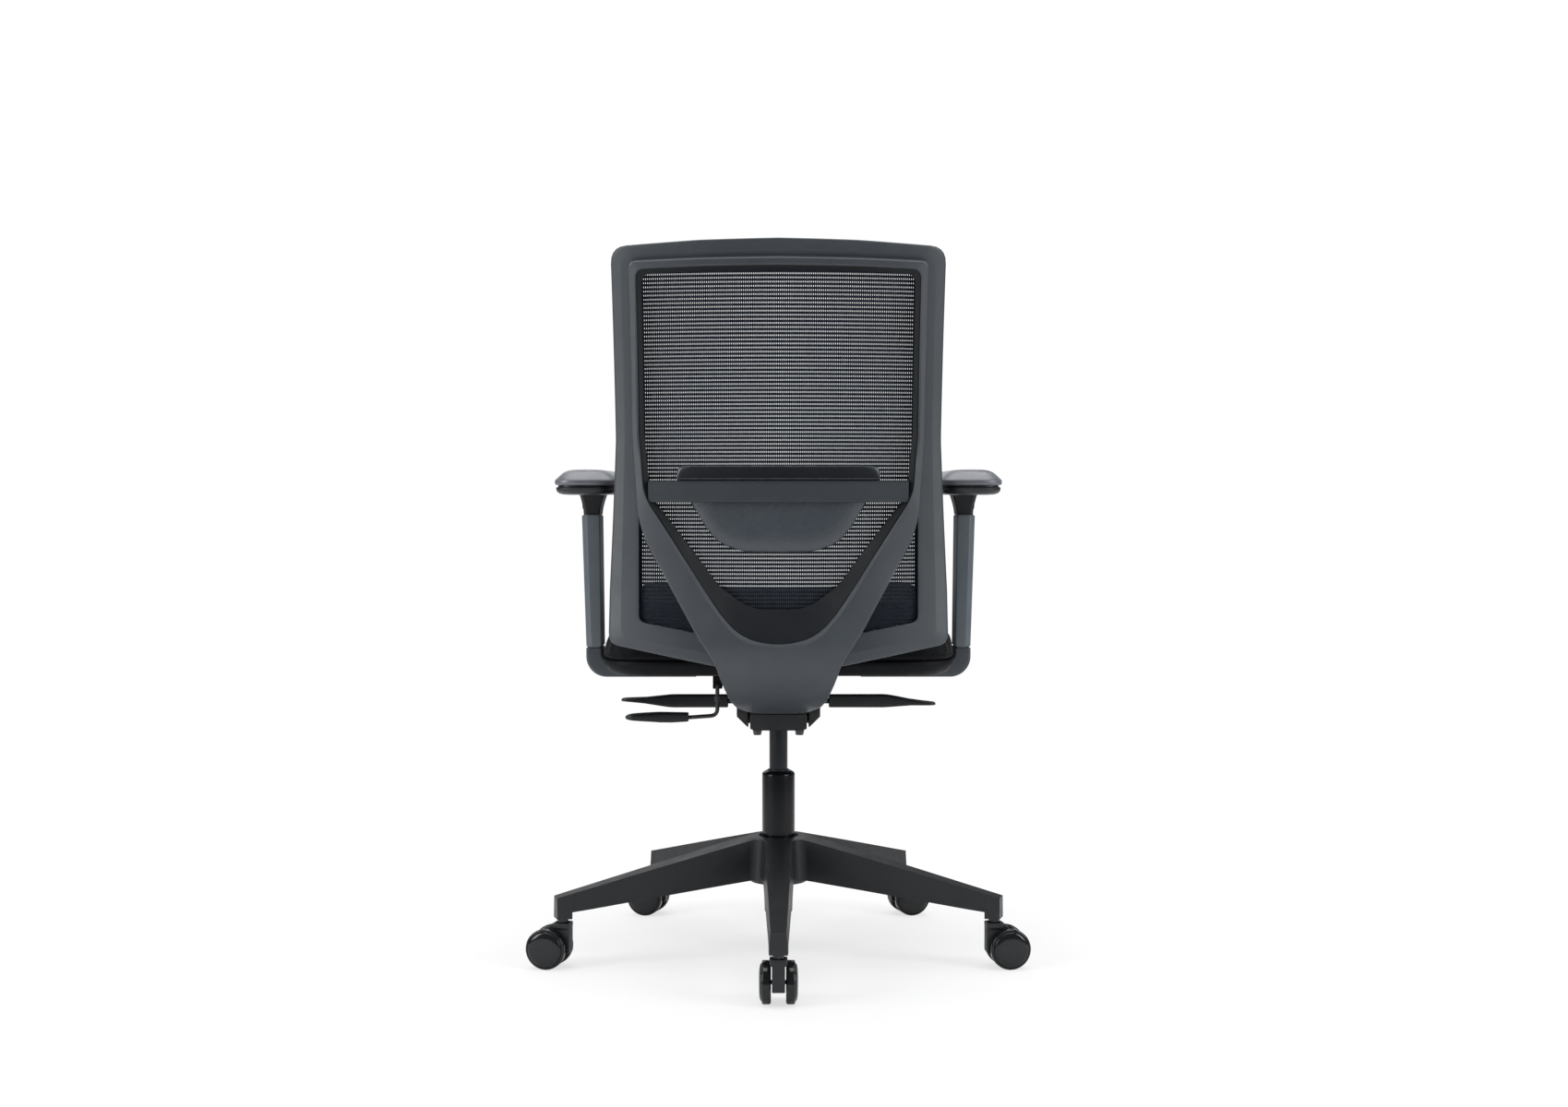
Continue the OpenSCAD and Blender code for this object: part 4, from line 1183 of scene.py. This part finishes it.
def tube(path, radius, sides=16):
    """A round wire along points in millimetres."""
    rows = []
    for k, place in enumerate(path):
        ahead = path[min(k + 1, len(path) - 1)] - path[max(k - 1, 0)]
        ahead = ahead / np.linalg.norm(ahead)
        side = np.cross(ahead, (0, 1, 0)) if abs(ahead[1]) < 0.9 else np.cross(ahead, (1, 0, 0))
        side /= np.linalg.norm(side)
        rows.append(circle(place, side, np.cross(side, ahead), radius, sides))
    return solid(rows)


def slide_lever():
    bends = rounded([(WIRE_X, WIRE_TOP, 0), (WIRE_X, 372.5, 11), (WIRE_X + 60, 368.2, 0)], (8, 8))
    path = [np.array((x, WIRE_Y, z)) for x, z in bends]
    stub = [np.array((WIRE_X, WIRE_Y - back, WIRE_TOP)) for back in (34, 20, 6, 0)]
    sleeve = lathe([(WIRE_R, -4), (4.6, -4), (5, -3.5), (5, 3.5), (4.6, 4), (WIRE_R, 4)], 32)
    rod = together(tube(path, WIRE_R), tube(stub, WIRE_R), moved(sleeve, by=(WIRE_X, WIRE_Y, 398)))
    piece("slide_lever_rod", rod, "black_steel", "slide_lever", ["slide_lever_wire"])
    stations = ((134, 6.2, 5.5, 370.2), (136, 6.8, 6.6, 370.2), (158, 7.6, 8, 369.7), (176, 7.2, 12, 370),
                (190, 6, 15.5, 370.2), (205, 5, 16.5, 370.2), (218, 4, 15.5, 370.2), (225, 2.8, 12, 370.2),
                (227.6, 1.2, 8, 370.2))
    places = ((134, 137, 3), (142, 216, 14), (219, 227.6, 5))
    piece("slide_lever_grip", grip(stations, places, WIRE_Y, 0.6, lambda middle: middle), "control_plastic",
          "slide_lever", ["slide_lever_paddle"])


def levers():
    piece("height_lever_grip", mirrored(blade(4), "right"), "control_plastic", "height_lever",
          ["height_lever_blade"])
    piece("tilt_lever_grip", blade(-2), "control_plastic", "tilt_lever", ["tilt_lever_blade"])
    slide_lever()


# ---------------------------------------------------------------- CAD nodes that stay

KEPT = {
    "mechanism_casting": (["mechanism_housing", "back_bracket"], 1.2),
    "steel": (["piston_rod", "thrust_bearing", "valve_pin", "tilt_spring", "pivot_pins", "seat_screws",
               "seat_tilt_plate"], 0),
    "black_steel": (["back_bolts", "height_lever_rod", "tilt_lever_rod"], 0.5),
    "control_plastic": (["tension_knob"], 0.8),
    "black_plastic": (["arm_button_left", "arm_button_right"], 0.8),
}


def dress_frame():
    for look, (names, width) in KEPT.items():
        for name in names:
            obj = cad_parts[name]
            for slot in obj.material_slots:
                slot.material = LOOK[look]
            if width:
                weld = obj.modifiers.new("weld", "WELD")
                weld.merge_threshold = 0.01 * MM
                round_edges(obj, width, segments=2, angle=40)


# ---------------------------------------------------------------- stage

SKY_COLOUR = (0.93, 0.96, 1.0, 1)
SKY_STRENGTH = 0.16
BACKDROP_STRENGTH = 1.05
FLOOR_HALF = 30.0
FADE_START = 0.9
FADE_STOP = 2.0
CHAIR_MIDDLE = (0, 0, 0.6)
# place, target and size in metres, power in watts
LAMPS = {
    "left_softbox": ((3.0, 1.6, 1.6), CHAIR_MIDDLE, (1.4, 2.2), 72),
    "right_softbox": ((-3.0, 1.7, 1.7), CHAIR_MIDDLE, (1.2, 2.0), 64),
    "overhead": ((0, -0.1, 3.2), (0, 0, 0), (3.4, 3.0), 110),
    "front_fill": ((0.5, -3.0, 2.0), CHAIR_MIDDLE, (2.4, 1.8), 15),
}


def lamp(name, place, target, size, power):
    data = bpy.data.lights.new(name, "AREA")
    data.shape = "RECTANGLE"
    data.size, data.size_y = size
    data.energy = power
    lamp_object = bpy.data.objects.new(name, data)
    scene.collection.objects.link(lamp_object)
    lamp_object.location = place
    aim = Vector(target) - Vector(place)
    lamp_object.rotation_euler = aim.to_track_quat("-Z", "Y").to_euler()


def floor():
    """White ground that turns into the white backdrop between FADE_START and FADE_STOP from the chair."""
    corners = [(x * FLOOR_HALF, y * FLOOR_HALF, 0) for x, y in ((-1, -1), (1, -1), (1, 1), (-1, 1))]
    mesh = bpy.data.meshes.new("floor")
    mesh.from_pydata(corners, [], [(0, 1, 2, 3)])
    ground = bpy.data.objects.new("floor", mesh)
    scene.collection.objects.link(ground)
    m = Nodes("floor")
    m.tint(m.spread(m.noise(400), 0, 1), (0.90, 0.90, 0.90), (0.93, 0.93, 0.93))
    m.rough(0.75, 0.85, 300)
    m.fixed(Specular_IOR_Level=0.1)
    reach = m.add("ShaderNodeVectorMath", operation="LENGTH")
    m.link(m.place, reach.inputs[0])
    glow = m.add("ShaderNodeEmission", Strength=1.0)
    fade = m.add("ShaderNodeMixShader")
    seen = m.add("ShaderNodeLightPath")
    lifted = m.add("ShaderNodeMath", operation="MULTIPLY")
    m.link(m.spread(reach.outputs["Value"], 0.68, 1, FADE_START, FADE_STOP), lifted.inputs[0])
    m.link(seen.outputs["Is Camera Ray"], lifted.inputs[1])
    m.link(lifted.outputs["Value"], fade.inputs["Fac"])
    m.link(m.shader.outputs["BSDF"], fade.inputs[1])
    m.link(glow.outputs["Emission"], fade.inputs[2])
    m.link(fade.outputs["Shader"], m.tree.nodes["Material Output"].inputs["Surface"])
    mesh.materials.append(m.material)


def studio():
    """A pale sky that lights the chair, a white backdrop that only the camera sees, and four lamps."""
    world = bpy.data.worlds.new("studio")
    world.use_nodes = True
    scene.world = world
    tree = world.node_tree
    sky = tree.nodes["Background"]
    sky.inputs["Color"].default_value = SKY_COLOUR
    sky.inputs["Strength"].default_value = SKY_STRENGTH
    white = tree.nodes.new("ShaderNodeBackground")
    white.inputs["Color"].default_value = (1, 1, 1, 1)
    white.inputs["Strength"].default_value = BACKDROP_STRENGTH
    seen = tree.nodes.new("ShaderNodeLightPath")
    mix = tree.nodes.new("ShaderNodeMixShader")
    tree.links.new(seen.outputs["Is Camera Ray"], mix.inputs["Fac"])
    tree.links.new(sky.outputs["Background"], mix.inputs[1])
    tree.links.new(white.outputs["Background"], mix.inputs[2])
    tree.links.new(mix.outputs["Shader"], tree.nodes["World Output"].inputs["Surface"])
    for name, (place, target, size, power) in LAMPS.items():
        lamp(name, place, target, size, power)
    scene.view_settings.view_transform = "Standard"


# ---------------------------------------------------------------- assembly

base_star()
column()
casters()
back_spine()
spine_foot()
crossbar()
mesh_frame()
back_mesh()
lumbar_pad()
lumbar_grip()
seat_shell()
seat = seat_cushion()
piping(seat, 4, 0.8, 2.0, "seat_piping_upper")
piping(seat, 4, 0.1, 1.8, "seat_piping_lower")
arms()
levers()
dress_frame()
floor()
studio()
